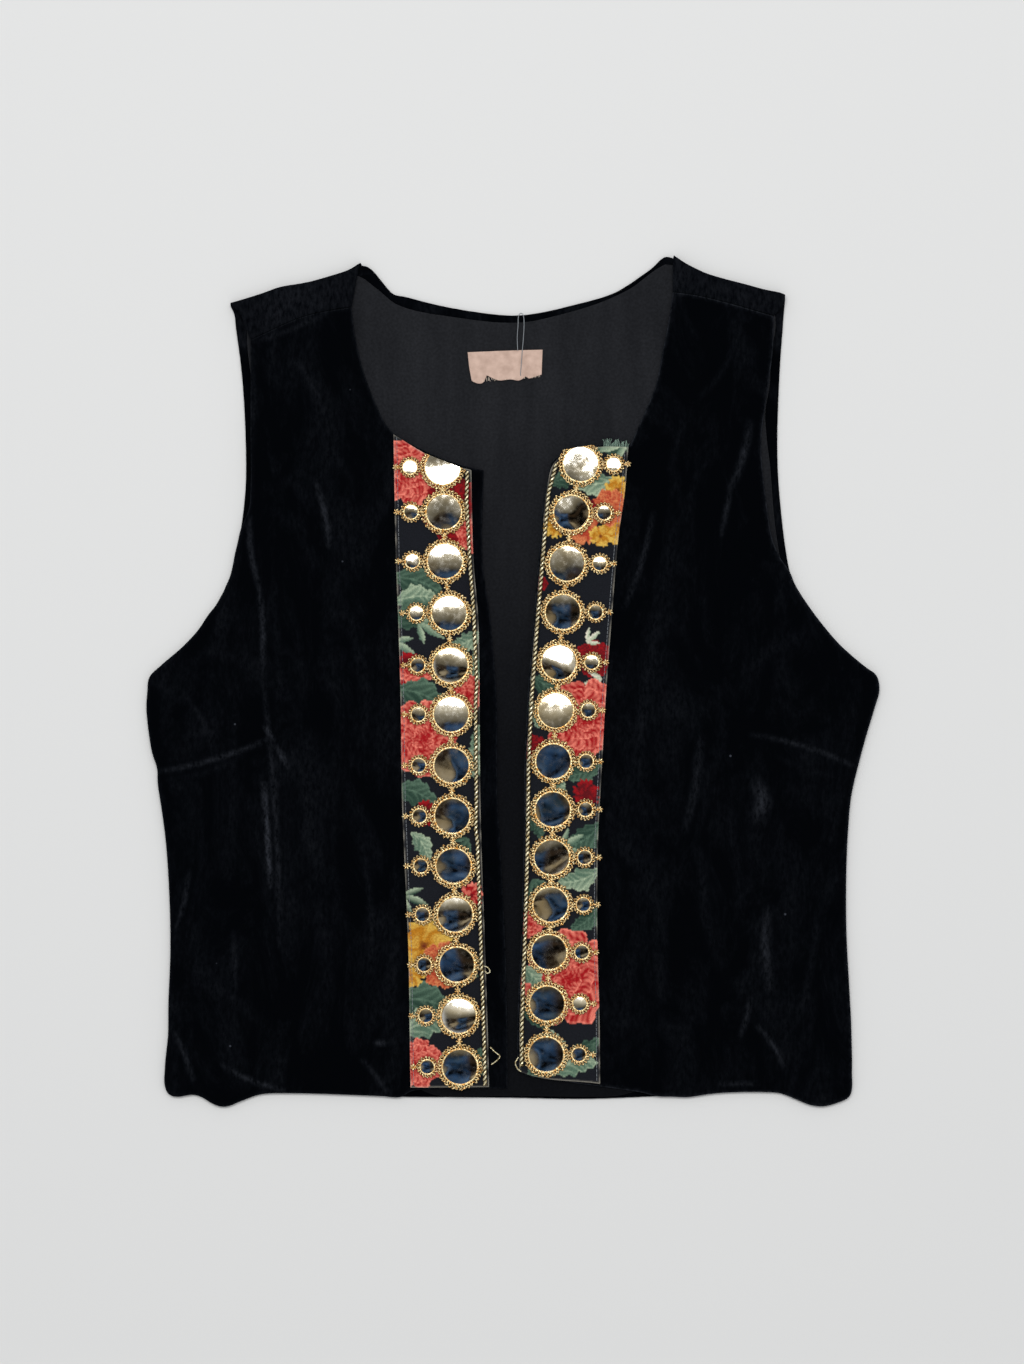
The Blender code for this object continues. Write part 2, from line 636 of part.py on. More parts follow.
def goldwork(side):
    """The embroidered frames of one band, joined by their bridges into one piece."""
    band = band_outline(side)
    centres = mirror_centres(side)
    seats = [circle(large, LARGE_SEAT, SEAT_SIDES) for large, _ in centres]
    worked = [circle(large, LARGE_RING, RING_SIDES) for large, _ in centres]
    worked += [circle(small, SMALL_RING, SMALL_SIDES) for _, small in centres]
    worked += [link(large, small) for large, small in centres]
    for (upper, _), (lower, _) in zip(centres, centres[1:]):
        stop = (lower[0], lower[1] + LINK_START)
        worked.append(link(upper, stop))
    seat_ids = set(range(1, 1 + len(seats)))
    worked_ids = set(range(1 + len(seats), 1 + len(seats) + len(worked)))
    flat, triangles = cut(
        [band] + seats + worked, [],
        lambda owner: 0 in owner and owner & worked_ids and not owner & seat_ids)
    wall(f"goldwork_{side}", flat, triangles, level(TRIM_FLOOR), level(TRIM_FLOOR + GOLDWORK),
         "gold_thread")


def mirrors(side):
    """The large mirrors, each in its embroidered seat, cut off where the band ends."""
    band = band_outline(side)
    for number, (large, _) in enumerate(mirror_centres(side), start=1):
        disc = circle(large, LARGE_MIRROR, SEAT_SIDES)

        def dome(x, y, centre=large):
            away = math.dist((x, y), centre) / LARGE_MIRROR
            return (x, y, TRIM_FLOOR + MIRROR + MIRROR_DOME * max(1.0 - away * away, 0.0))

        flat, triangles = cut([disc, band], [large], lambda owner: owner == {0, 1})
        wall(f"mirror_{side}_{number:02d}", flat, triangles, level(TRIM_FLOOR), dome,
             "mirror_foil")


def edge_cord(side):
    """The twisted gold cord along a band's inner edge."""
    top, bottom = CORD_ENDS[side]
    count = round((top - bottom) / CORD_STEP)
    heights = [top + (bottom - top) * k / count for k in range(count + 1)]
    curve = bpy.data.curves.new(f"edge_cord_{side}", "CURVE")
    curve.dimensions = "3D"
    curve.bevel_depth = CORD_RADIUS * MM
    curve.bevel_resolution = 1
    curve.use_fill_caps = True
    spline = curve.splines.new("POLY")
    spline.points.add(count)
    for point, y in zip(spline.points, heights):
        place = (cord_x(side, y), y, TRIM_FLOOR + CORD_RADIUS)
        point.co = (*(v * MM for v in place), 1.0)
    curve.materials.append(material("gold_thread"))
    piece = bpy.data.objects.new(f"edge_cord_{side}", curve)
    bpy.context.scene.collection.objects.link(piece)


def neck_label():
    """The blank woven label, torn along its lower edge."""
    ring = list(LABEL_OUTLINE)
    flat, triangles = cut([ring], [], lambda owner: owner == {0})
    wall("label", flat, triangles, level(LABEL_FLOOR), level(LABEL_FLOOR + LABEL_CLOTH),
         "woven_ribbon")


def main():
    clear_scene()
    back_panel()
    back_lining()
    neck_label()
    for side in ("left", "right"):
        front_and_band(side)
        edge_cord(side)
        goldwork(side)
        mirrors(side)


main()
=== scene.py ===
# %% [markdown]
# A velvet vest with mirror-work bands, laid flat with its fronts up.
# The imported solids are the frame: they give every outline, height and place.
# This lesson lays a fine cloth over each of them and finishes it as the real thing is
# made: cotton velvet, charcoal lining, a printed band, gold thread and small mirrors.
# %% Load the frame
import math

import bmesh
import bpy
import numpy as np
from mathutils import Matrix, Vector
from mathutils.bvhtree import BVHTree
from mathutils.geometry import delaunay_2d_cdt


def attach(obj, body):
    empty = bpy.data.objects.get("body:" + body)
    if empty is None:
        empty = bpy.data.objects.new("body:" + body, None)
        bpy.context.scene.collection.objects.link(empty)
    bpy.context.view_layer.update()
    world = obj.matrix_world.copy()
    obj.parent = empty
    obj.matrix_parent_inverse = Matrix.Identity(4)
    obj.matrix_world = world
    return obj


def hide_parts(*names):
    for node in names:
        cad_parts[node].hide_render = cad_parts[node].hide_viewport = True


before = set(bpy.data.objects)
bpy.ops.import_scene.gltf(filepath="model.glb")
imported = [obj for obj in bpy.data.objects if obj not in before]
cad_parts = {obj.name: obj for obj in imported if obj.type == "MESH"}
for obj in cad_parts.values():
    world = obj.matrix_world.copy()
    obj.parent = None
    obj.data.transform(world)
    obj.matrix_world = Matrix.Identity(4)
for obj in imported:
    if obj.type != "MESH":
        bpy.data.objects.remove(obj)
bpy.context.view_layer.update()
MM = 0.001
SIDES = ("left", "right")
OUTWARD = {"left": -1.0, "right": 1.0}
print("frame nodes:", len(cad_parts))

# %% [markdown]
# Colours are written as the sRGB hex values that a colour picker gives, and one function
# turns them to the linear values that the shaders want.
# One more function adds a shader node, sets its options and joins its inputs.
# The Mix node keeps its colour sockets at fixed places, which get names here.
# %% Colour and node helpers
MIX_A, MIX_B, MIX_RESULT = 6, 7, 2


def linear(code):
    """An sRGB hex colour as linear RGBA."""
    parts = [int(code[i:i + 2], 16) / 255 for i in (1, 3, 5)]
    parts = [c / 12.92 if c <= 0.04045 else ((c + 0.055) / 1.055) ** 2.4 for c in parts]
    return (*parts, 1.0)


def add(tree, kind, inputs=None, **settings):
    """Add a node, set its options, and give each input a value or a link."""
    made = tree.nodes.new(kind)
    for name, value in settings.items():
        setattr(made, name, value)
    for key, value in (inputs or {}).items():
        if isinstance(value, bpy.types.NodeSocket):
            tree.links.new(value, made.inputs[key])
        else:
            made.inputs[key].default_value = value
    return made


def new_finish(name, constants):
    """A material with its tree and its shader, whose constant sockets are set here."""
    finish = bpy.data.materials.new(name)
    finish.use_nodes = True
    shader = finish.node_tree.nodes["Principled BSDF"]
    for key, value in constants.items():
        shader.inputs[key].default_value = value
    return finish, finish.node_tree, shader


print("helpers ready")

# %% [markdown]
# Cotton velvet: a short upright pile that swallows light, so it is nearly black head on.
# Where the pile is crushed or brushed aside it turns dusty grey, so the mesh carries a
# "crush" value that is high along creases, and noise breaks it up into soft streaks.
# The same value also carries a painted highlight, a thin pale line along the fronts'
# turned edges.
# A few specks of lint cling to it, drawn by the hearts of large, scattered cells.
# %% Velvet
PILE_SIZE = 0.8 * MM      # real pile is about 0.2 mm; drawn coarser so that it shows
STREAK_SIZE = 30 * MM
FLECK_SIZE = 2.0 * MM
LINT_SPACING, LINT_SIZE = 34 * MM, 0.45 * MM
CRUSH_SHARE = 0.8
velvet, tree, shader = new_finish("cotton_velvet", {
    "Roughness": 1.0, "Sheen Weight": 0.02, "Sheen Roughness": 0.45,
    "Sheen Tint": linear("#8a98a8"), "Specular IOR Level": 0.012})
place = add(tree, "ShaderNodeTexCoord").outputs["Object"]
crush = add(tree, "ShaderNodeAttribute", attribute_name="crush").outputs["Fac"]
long_way = add(tree, "ShaderNodeMapping", {"Vector": place, "Scale": (1.0, 0.4, 1.0)})
streaks = add(tree, "ShaderNodeTexNoise", {
    "Vector": long_way.outputs["Vector"], "Scale": 1 / STREAK_SIZE, "Detail": 7.0,
    "Roughness": 0.7, "Distortion": 0.6})
flecks = add(tree, "ShaderNodeTexNoise", {
    "Vector": long_way.outputs["Vector"], "Scale": 1 / FLECK_SIZE, "Detail": 4.0,
    "Roughness": 0.7})
streak_mask = add(tree, "ShaderNodeMapRange", {
    "Value": streaks.outputs["Fac"], "From Min": 0.45, "From Max": 0.78, "To Max": 0.11})
fleck_mask = add(tree, "ShaderNodeMapRange", {
    "Value": flecks.outputs["Fac"], "From Min": 0.34, "From Max": 0.66,
    "To Min": 0.05, "To Max": 1.3})
# The crush value also holds the fronts' painted edge highlight, so this grey is partly crushed pile, streaks and
# lint and partly painted highlight.
dust_and_highlight = add(tree, "ShaderNodeMath", {
    0: crush, 1: CRUSH_SHARE, 2: streak_mask.outputs["Result"]}, operation="MULTIPLY_ADD")
dust_and_highlight = add(tree, "ShaderNodeMath", {0: dust_and_highlight.outputs[0], 1: fleck_mask.outputs["Result"]},
           operation="MULTIPLY")
cells = add(tree, "ShaderNodeTexVoronoi", {"Vector": place, "Scale": 1 / LINT_SPACING})
lint = add(tree, "ShaderNodeMapRange", {
    "Value": cells.outputs["Distance"], "From Min": LINT_SIZE / LINT_SPACING,
    "From Max": 2 * LINT_SIZE / LINT_SPACING, "To Min": 0.9, "To Max": 0.0})
dust_and_highlight = add(tree, "ShaderNodeMath", {0: dust_and_highlight.outputs[0], 1: lint.outputs["Result"]},
           operation="ADD", use_clamp=True)
tone = add(tree, "ShaderNodeMix", {
    0: dust_and_highlight.outputs[0], MIX_A: linear("#020305"), MIX_B: linear("#383b42")},
    data_type="RGBA")
tree.links.new(tone.outputs[MIX_RESULT], shader.inputs["Base Color"])
pile = add(tree, "ShaderNodeTexNoise", {"Vector": place, "Scale": 1 / PILE_SIZE,
                                        "Detail": 2.0})
nap = add(tree, "ShaderNodeBump", {"Height": pile.outputs["Fac"], "Strength": 0.4,
                                   "Distance": 0.25 * MM})
tree.links.new(nap.outputs["Normal"], shader.inputs["Normal"])
print(velvet.name)

# %% [markdown]
# Charcoal cotton lining: a plain weave of matte yarns. Two crossed wave textures draw
# the yarns, and a noise drawn out down the cloth gives the faded streaks of washed
# cotton. Painted shade darkens it towards the bottom, where the fronts shade it, so it is
# lightest at the neck.
# %% Lining
LINING_YARN = 0.8 * MM      # real yarns are 0.4 mm apart; drawn wider so that they show
FADED_SIZE, SLUB_SIZE = 14 * MM, 1.6 * MM
# Painted shade on the lining lifts between these two heights.
SHADE_FROM, SHADE_TO = -40 * MM, 170 * MM      # heights on the back between which it fades
WAVE_PER_METRE = 2 * math.pi / 20      # Blender's Wave texture repeats 20 / (2 pi) a unit


def weave(tree, place, pitch):
    """Height of a plain weave: yarns that pass over and under each other."""
    across, along = (add(tree, "ShaderNodeTexWave", {
        "Vector": place, "Scale": WAVE_PER_METRE / pitch, "Distortion": 0.4, "Detail": 1.0,
        "Detail Scale": 2.0}, bands_direction=direction) for direction in ("X", "Y"))
    return add(tree, "ShaderNodeMath", {0: across.outputs["Fac"], 1: along.outputs["Fac"]},
               operation="ADD").outputs[0]


lining, tree, shader = new_finish("washed_cotton_lining", {
    "Roughness": 1.0, "Sheen Weight": 0.03, "Specular IOR Level": 0.05})
place = add(tree, "ShaderNodeTexCoord").outputs["Object"]
long_way = add(tree, "ShaderNodeMapping", {"Vector": place, "Scale": (1.0, 0.22, 1.0)})
patches = add(tree, "ShaderNodeTexNoise", {
    "Vector": long_way.outputs["Vector"], "Scale": 1 / FADED_SIZE, "Detail": 6.0,
    "Roughness": 0.6})
slubs = add(tree, "ShaderNodeTexNoise", {"Vector": place, "Scale": 1 / SLUB_SIZE,
                                         "Detail": 3.0})
fade_and_shade = add(tree, "ShaderNodeMapRange", {"Value": patches.outputs["Fac"],
                                         "From Min": 0.3, "From Max": 0.75})
up = add(tree, "ShaderNodeSeparateXYZ", {"Vector": place}).outputs["Y"]
# Painted shade: the lining is darkest low down, where the fronts shade it, and lightest at the neck.
lightening = add(tree, "ShaderNodeMapRange", {"Value": up, "From Min": SHADE_FROM,
                                        "From Max": SHADE_TO, "To Min": 0.1})
fade_and_shade = add(tree, "ShaderNodeMath", {0: fade_and_shade.outputs["Result"], 1: 0.35, 2: 0.5},
            operation="MULTIPLY_ADD")
fade_and_shade = add(tree, "ShaderNodeMath", {0: fade_and_shade.outputs[0], 1: lightening.outputs["Result"]},
            operation="MULTIPLY")
tone = add(tree, "ShaderNodeMix", {0: fade_and_shade.outputs[0], MIX_A: linear("#07080b"),
                                   MIX_B: linear("#242528")}, data_type="RGBA")
speck = add(tree, "ShaderNodeMapRange", {"Value": slubs.outputs["Fac"], "From Min": 0.35,
                                         "From Max": 0.7, "To Min": 0.82, "To Max": 1.2})
tone = add(tree, "ShaderNodeMix", {0: 1.0, MIX_A: tone.outputs[MIX_RESULT],
                                   MIX_B: speck.outputs["Result"]},
           data_type="RGBA", blend_type="MULTIPLY")
tree.links.new(tone.outputs[MIX_RESULT], shader.inputs["Base Color"])
relief = add(tree, "ShaderNodeBump", {"Height": weave(tree, place, LINING_YARN),
                                      "Strength": 0.5, "Distance": 0.12 * MM})
tree.links.new(relief.outputs["Normal"], shader.inputs["Normal"])
print(lining.name)

# %% [markdown]
# Printed cotton: the flower print is worked out point by point on the band's fine mesh
# and kept there as a colour attribute, so the shader only adds the weave and the slight
# unevenness of ink on cloth.
# %% Printed cotton
PRINT_YARN, INK_GRAIN = 0.7 * MM, 0.9 * MM      # both coarser than real, so that they show
printed, tree, shader = new_finish("printed_cotton", {
    "Roughness": 0.9, "Sheen Weight": 0.03, "Specular IOR Level": 0.12})
place = add(tree, "ShaderNodeTexCoord").outputs["Object"]
ink = add(tree, "ShaderNodeAttribute", attribute_name="print").outputs["Color"]
grain = add(tree, "ShaderNodeTexNoise", {"Vector": place, "Scale": 1 / INK_GRAIN,
                                         "Detail": 3.0})
cover = add(tree, "ShaderNodeMapRange", {"Value": grain.outputs["Fac"], "From Min": 0.3,
                                         "From Max": 0.7, "To Min": 0.66, "To Max": 1.0})
tone = add(tree, "ShaderNodeMix", {0: 1.0, MIX_A: ink, MIX_B: cover.outputs["Result"]},
           data_type="RGBA", blend_type="MULTIPLY")
tree.links.new(tone.outputs[MIX_RESULT], shader.inputs["Base Color"])
relief = add(tree, "ShaderNodeBump", {"Height": weave(tree, place, PRINT_YARN),
                                      "Strength": 0.35, "Distance": 0.1 * MM})
tree.links.new(relief.outputs["Normal"], shader.inputs["Normal"])
print(printed.name)

# %% [markdown]
# Metallic embroidery thread: a strip of gold film wound round a core, so each turn
# catches the light by itself. The metal shader gets a fine diagonal wave for the turns
# and a noise that paints pale highlights on some threads while others stay darker.
# The tone also follows the height: painted shade turns it brown down in the stitches,
# where old film thread also tarnishes, and a painted highlight keeps it bright where it
# stands proud. The embroidery, the cord and its loose ends lie at different heights,
# and the cord is a paler metal, so each has its own finish from one function.
# %% Gold thread
TURN_PITCH = 0.7 * MM      # real turns are about 0.3 mm; drawn wider so that they show
GLINT_SIZE = 1.5 * MM
# Each set: a brown for painted shade and tarnish, a honey tone, and a pale tone for painted highlights.
EMBROIDERY_TONES = ("#54330f", "#cc8f3a", "#ffedb6")
CORD_TONES = ("#554527", "#a8905a", "#f5eecb")


def gold_thread(name, tarnish_and_shade_z, shine_z, brown, honey, pale):
    """Gold film thread: brown with painted shade and tarnish at one height, and bright
    with a painted highlight at another.
    """
    finish, tree, shader = new_finish(name, {"Metallic": 0.6, "Roughness": 0.25})
    place = add(tree, "ShaderNodeTexCoord").outputs["Object"]
    turned = add(tree, "ShaderNodeMapping", {"Vector": place, "Rotation": (0.4, 0.5, 0.8)})
    turns = add(tree, "ShaderNodeTexWave", {
        "Vector": turned.outputs["Vector"], "Scale": WAVE_PER_METRE / TURN_PITCH,
        "Distortion": 3.0, "Detail": 2.0})
    # Painted highlights: this noise lays the pale tone on some threads as glints.
    glint_noise = add(tree, "ShaderNodeTexNoise", {"Vector": place, "Scale": 1 / GLINT_SIZE,
                                            "Detail": 3.0, "Roughness": 0.75})
    patchy = add(tree, "ShaderNodeMapRange", {"Value": glint_noise.outputs["Fac"],
                                              "From Min": 0.4, "From Max": 0.58})
    bright = add(tree, "ShaderNodeMix", {
        0: patchy.outputs["Result"], MIX_A: linear(honey), MIX_B: linear(pale)},
        data_type="RGBA")
    # Painted shade and painted highlight: brown low in the stitches, which is also tarnish, and bright where the
    # thread stands proud.
    level = add(tree, "ShaderNodeSeparateXYZ", {"Vector": place}).outputs["Z"]
    proud = add(tree, "ShaderNodeMapRange", {"Value": level, "From Min": tarnish_and_shade_z,
                                             "From Max": shine_z})
    tone = add(tree, "ShaderNodeMix", {
        0: proud.outputs["Result"], MIX_A: linear(brown),
        MIX_B: bright.outputs[MIX_RESULT]}, data_type="RGBA")
    tree.links.new(tone.outputs[MIX_RESULT], shader.inputs["Base Color"])
    relief = add(tree, "ShaderNodeBump", {"Height": turns.outputs["Fac"], "Strength": 0.6,
                                          "Distance": 0.15 * MM})
    tree.links.new(relief.outputs["Normal"], shader.inputs["Normal"])
    return finish


gold = gold_thread("gold_film_thread", 6.8 * MM, 7.7 * MM, *EMBROIDERY_TONES)
cord_gold = gold_thread("gold_film_cord", 8.1 * MM, 8.9 * MM, *CORD_TONES)
end_gold = gold_thread("gold_film_loose_end", 3.5 * MM, 5 * MM, *CORD_TONES)
print(gold.name, cord_gold.name, end_gold.name)

# %% [markdown]
# Mirror foil: a thin silvered disc that has buckled a little in its frame. It is a clean
# metal, and its mesh carries the buckles that bend the reflection. Age has yellowed it
# in soft clouds, and fine scuffs blur its gleam here and there.
# %% Mirror foil
STAIN_SIZE, SCUFF_SIZE = 14 * MM, 3 * MM
foil, tree, shader = new_finish("silvered_foil", {"Metallic": 1.0})
place = add(tree, "ShaderNodeTexCoord").outputs["Object"]
stain = add(tree, "ShaderNodeTexNoise", {"Vector": place, "Scale": 1 / STAIN_SIZE,
                                         "Detail": 3.0, "Roughness": 0.5})
stain_mask = add(tree, "ShaderNodeMapRange", {"Value": stain.outputs["Fac"],
                                              "From Min": 0.4, "From Max": 0.75})
tone = add(tree, "ShaderNodeMix", {0: stain_mask.outputs["Result"],
                                   MIX_A: linear("#efece4"), MIX_B: linear("#bfb08f")},
           data_type="RGBA")
tree.links.new(tone.outputs[MIX_RESULT], shader.inputs["Base Color"])
scuffs = add(tree, "ShaderNodeTexNoise", {"Vector": place, "Scale": 1 / SCUFF_SIZE,
                                          "Detail": 5.0})
dull = add(tree, "ShaderNodeMapRange", {"Value": scuffs.outputs["Fac"], "From Min": 0.35,
                                        "From Max": 0.7, "To Min": 0.03, "To Max": 0.13})
tree.links.new(dull.outputs["Result"], shader.inputs["Roughness"])
print(foil.name)

# %% [markdown]
# The label is a plain woven ribbon, and the stitches and the hanging thread are matte
# sewing thread. Each gets a little noise, because no yarn is one flat tone.
# %% Ribbon and sewing threads
RIBBON_YARN, MOTTLE_SIZE, FIBRE_SIZE = 0.5 * MM, 5 * MM, 0.8 * MM
ribbon, tree, shader = new_finish("woven_ribbon", {"Roughness": 0.8, "Sheen Weight": 0.1})
place = add(tree, "ShaderNodeTexCoord").outputs["Object"]
mottle = add(tree, "ShaderNodeTexNoise", {"Vector": place, "Scale": 1 / MOTTLE_SIZE,
                                          "Detail": 4.0})
tone = add(tree, "ShaderNodeMix", {0: mottle.outputs["Fac"], MIX_A: linear("#957a6b"),
                                   MIX_B: linear("#d5b8a8")}, data_type="RGBA")
tree.links.new(tone.outputs[MIX_RESULT], shader.inputs["Base Color"])
relief = add(tree, "ShaderNodeBump", {"Height": weave(tree, place, RIBBON_YARN),
                                      "Strength": 0.4, "Distance": 0.1 * MM})
tree.links.new(relief.outputs["Normal"], shader.inputs["Normal"])


def thread_finish(name, dark, light):
    """Matte sewing thread between two tones."""
    finish, tree, shader = new_finish(name, {"Roughness": 0.8, "Sheen Weight": 0.2})
    place = add(tree, "ShaderNodeTexCoord").outputs["Object"]
    fibres = add(tree, "ShaderNodeTexNoise", {"Vector": place, "Scale": 1 / FIBRE_SIZE})
    tone = add(tree, "ShaderNodeMix", {0: fibres.outputs["Fac"], MIX_A: linear(dark),
                                       MIX_B: linear(light)}, data_type="RGBA")
    tree.links.new(tone.outputs[MIX_RESULT], shader.inputs["Base Color"])
    return finish


grey_thread = thread_finish("grey_polyester_thread", "#5b5f63", "#8d9296")
print(ribbon.name, grey_thread.name)

# %% [markdown]
# Every cloth piece is laid in the same way. The upward faces of its solid give a closed
# outline and a height for every place. The outline is smoothed between its corners, the
# inside is filled with an even triangular grid, and both are triangulated together.
# %% Read a solid's upper side
UPWARD = 0.3      # a face counts as upper when its normal rises at least this much
CORNER_TURN = math.radians(52)      # a sharper turn of an outline stays a corner


def upper_side(node):
    """The upward faces of a solid, as a bmesh in metres."""
    solid = bmesh.new()
    solid.from_mesh(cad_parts[node].data)
    solid.transform(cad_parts[node].matrix_world)
    bmesh.ops.remove_doubles(solid, verts=solid.verts, dist=1e-6)
    solid.normal_update()
    bmesh.ops.delete(solid, geom=[f for f in solid.faces if f.normal.z < UPWARD],
                     context="FACES")
    return solid


def rim_of(surface):
    """The longest open edge loop of a surface, as x, y points, anticlockwise."""
    after = {}
    for edge in surface.edges:
        if edge.is_boundary:
            corner = edge.link_loops[0]
            after[corner.vert.index] = corner.link_loop_next.vert.index
    surface.verts.ensure_lookup_table()
    best = []
    while after:
        start, here = next(iter(after.items()))
        del after[start]
        chain = [start]
        while here in after:
            chain.append(here)
            here = after.pop(here)
        if len(chain) > len(best):
            best = chain
    return np.array([surface.verts[i].co.xy[:] for i in best])


def smooth_rim(rim, step):
    """Points `step` apart on a smooth curve through a rim that keeps its sharp corners."""
    ahead = np.roll(rim, -1, axis=0) - rim
    length = np.linalg.norm(ahead, axis=1)
    unit = ahead / length[:, None]
    behind = np.roll(unit, 1, axis=0)
    turn = np.arccos(np.clip((unit * behind).sum(1), -1, 1))
    mean = unit + behind
    mean /= np.maximum(np.linalg.norm(mean, axis=1), 1e-9)[:, None]
    sharp = turn > CORNER_TURN
    leave = np.where(sharp[:, None], unit, mean)
    arrive = np.where(sharp[:, None], behind, mean)
    out = []
    for i in range(len(rim)):
        j = (i + 1) % len(rim)
        pieces = max(1, round(length[i] / step))
        t = (np.arange(pieces) / pieces)[:, None]
        chord = (2 * t**3 - 3 * t**2 + 1) * rim[i] + (3 * t**2 - 2 * t**3) * rim[j]
        bend = (t**3 - 2 * t**2 + t) * leave[i] + (t**3 - t**2) * arrive[j]
        out.append(chord + bend * length[i])
    return np.concatenate(out)


print("outlines come from the solids")

# %% [markdown]
# Two measures are needed for many points at once, so they are written with numpy: which
# points lie inside an outline, and how far each point is from it.
# %% Measure points against an outline


def inside(points, ring):
    """Which points lie within a closed outline."""
    hit = np.zeros(len(points), bool)
    x, y = points[:, 0], points[:, 1]
    for a, b in zip(ring, np.roll(ring, -1, axis=0)):
        if a[1] != b[1]:
            crossing = a[0] + (y - a[1]) * (b[0] - a[0]) / (b[1] - a[1])
            hit ^= ((a[1] > y) != (b[1] > y)) & (x < crossing)
    return hit


def distance(points, line):
    """The distance from each point to a chain of straight runs."""
    best = np.full(len(points), np.inf)
    for a, b in zip(line[:-1], line[1:]):
        run = b - a
        t = np.clip(((points - a) @ run) / max(run @ run, 1e-18), 0, 1)
        best = np.minimum(best, np.hypot(*(points - a - t[:, None] * run).T))
    return best


def closed(ring):
    """An outline as a chain that ends where it starts."""
    return np.vstack((ring, ring[:1]))


def ease(t):
    """A smooth step from 0 to 1."""
    t = np.clip(t, 0, 1)
    return t * t * (3 - 2 * t)


print("measures ready")

# %% [markdown]
# Soft creases finish the form. Each row of a table is one crease that a hand could point
# to: two ends, how far it bows sideways, half its width and its height, all in
# millimetres. Troughs are negative, and the cloth that leaves a trough stands up beside
# it as two low flanks. A crease fades towards its ends, and its pile is crushed: only a
# thin line at the bottom of a narrow crease, but a whole patch where the cloth was
# pressed broadly. The velvet's "crush" value records it.
# Columns: x0, y0, x1, y1, bow, half width, height, crush.
# %% Creases listed one by one
FLANK_SHARE, FLANK_WIDTH = 0.55, 2.4
LINE_WIDTH, PATCH_FROM, PATCH_SHARE = 1.4, 4.0, 0.8
FAINTNESS = 1.4      # a light press leaves hardly a mark on the pile
CREASES = {
    "front_left": (
        (-166, 104, -160, 60, -2, 4.5, -1.3, 0.5), (-161, 66, -158, 8, 2, 4.0, -1.2, 0.55),
        (-159, 14, -147, -166, 3, 4.5, -1.1, 0.35), (-152, 60, -149, -30, 3, 7, 0.8, 0.1),
        (-124, 126, -116, 86, 1.5, 3.5, -0.9, 0.55),
        (-223, -56, -151, -34, -3, 1.6, -1.5, 0.42),
        (-216, -61, -170, -46, -3, 6, 0.9, 0.1), (-204, -119, -212, -154, 1, 3, -0.7, 0.35),
        (-176, -157, -175, -195, 0, 3, -0.4, 0.25), (-214, -219, -202, -250, 1, 3, -0.9, 0.35),
        (-183, -241, -145, -257, -2, 3.5, -0.9, 0.45), (-95, -238, -80, -258, 1, 3, -0.6, 0.35),
        (-156, -27, -151, -36, 0, 2.2, -0.7, 0.8), (-149, -40, -142, -53, 0, 2.4, -0.6, 0.6),
        (-190, 20, -150, -5, 5, 9, -1.0, 0.12), (-118, 150, -100, 120, 3, 7, 0.7, 0.1),
        (-112, 62, -92, -20, 4, 8, 0.7, 0.12), (-130, -60, -118, -130, -4, 8, 0.6, 0.1),
        (-96, -100, -90, -180, 3, 6, -0.5, 0.15), (-196, -190, -160, -214, 4, 8, 0.7, 0.12),
        (-205, -10, -190, -40, 2, 5, -0.6, 0.2), (-140, 205, -120, 170, 3, 6, -0.5, 0.15),
        (-157, -64, -153, -128, 0.5, 2.0, -0.3, 0.8),
        (-166, 214, -117, 233, -2, 1.2, -0.2, 0.25),
        (-165, 212, -164, 150, 1, 1.2, -0.2, 0.2), (-86, -227, -80, -227, 0, 1.5, -0.1, 0.7),
    ),
    "front_right": (
        (88, 106, 70, 47, 2, 3.5, -0.9, 0.4), (149, 163, 137, 123, 2, 6.5, -1.0, 0.45),
        (137, 123, 131, 93, 0, 3.5, -0.9, 0.4), (118, -35, 108, -93, 2, 7, -0.9, 0.35),
        (217, -54, 150, -33, -3, 1.6, -1.5, 0.36), (205, -60, 165, -46, 2, 6, 0.9, 0.1),
        (154, -64, 154, -84, 3, 9, -0.6, 0.55), (160, -143, 162, -192, -2, 7.5, -0.8, 0.45),
        (149, -199, 143, -222, 1, 3, -0.7, 0.45), (154, -217, 170, -241, 2, 4, -0.8, 0.45),
        (131, -253, 154, -253, 0, 5, -0.4, 0.35), (178, 30, 148, 0, -5, 9, -1.0, 0.12),
        (112, 170, 100, 130, -3, 7, 0.7, 0.12), (92, 40, 80, -60, -4, 8, 0.6, 0.12),
        (86, -120, 92, -200, 4, 8, 0.6, 0.12), (190, -150, 178, -214, 3, 7, 0.7, 0.15),
        (120, -110, 132, -180, -5, 8, -0.5, 0.15), (140, 215, 118, 180, 3, 6, -0.5, 0.15),
    ),
    "back_lining": (
        (6, -9, 2, -75, -2, 2.6, 0.35, 0), (1, -70, -0.5, -165, 0.5, 2.2, 0.35, 0),
        (-1, -160, 4, -245, -1, 2.4, 0.3, 0), (19, 180, 19, 132, 1, 2.5, 0.3, 0),
        (-60, 205, -30, 176, 4, 6, 0.3, 0), (60, 215, 70, 170, -4, 6, 0.3, 0),
        (-12, 150, 8, 60, 5, 8, 0.3, 0), (-80, 225, -60, 180, -3, 5, -0.2, 0),
    ),
}


def bowed(x0, y0, x1, y1, bow, steps=14):
    """A line between two points, bowed sideways like an arc, in metres."""
    t = np.linspace(0, 1, steps)[:, None]
    start, end = np.array((x0, y0)) * MM, np.array((x1, y1)) * MM
    run = end - start
    across = np.array((-run[1], run[0])) / np.linalg.norm(run)
    return start + run * t + across * (4 * bow * MM * t * (1 - t))


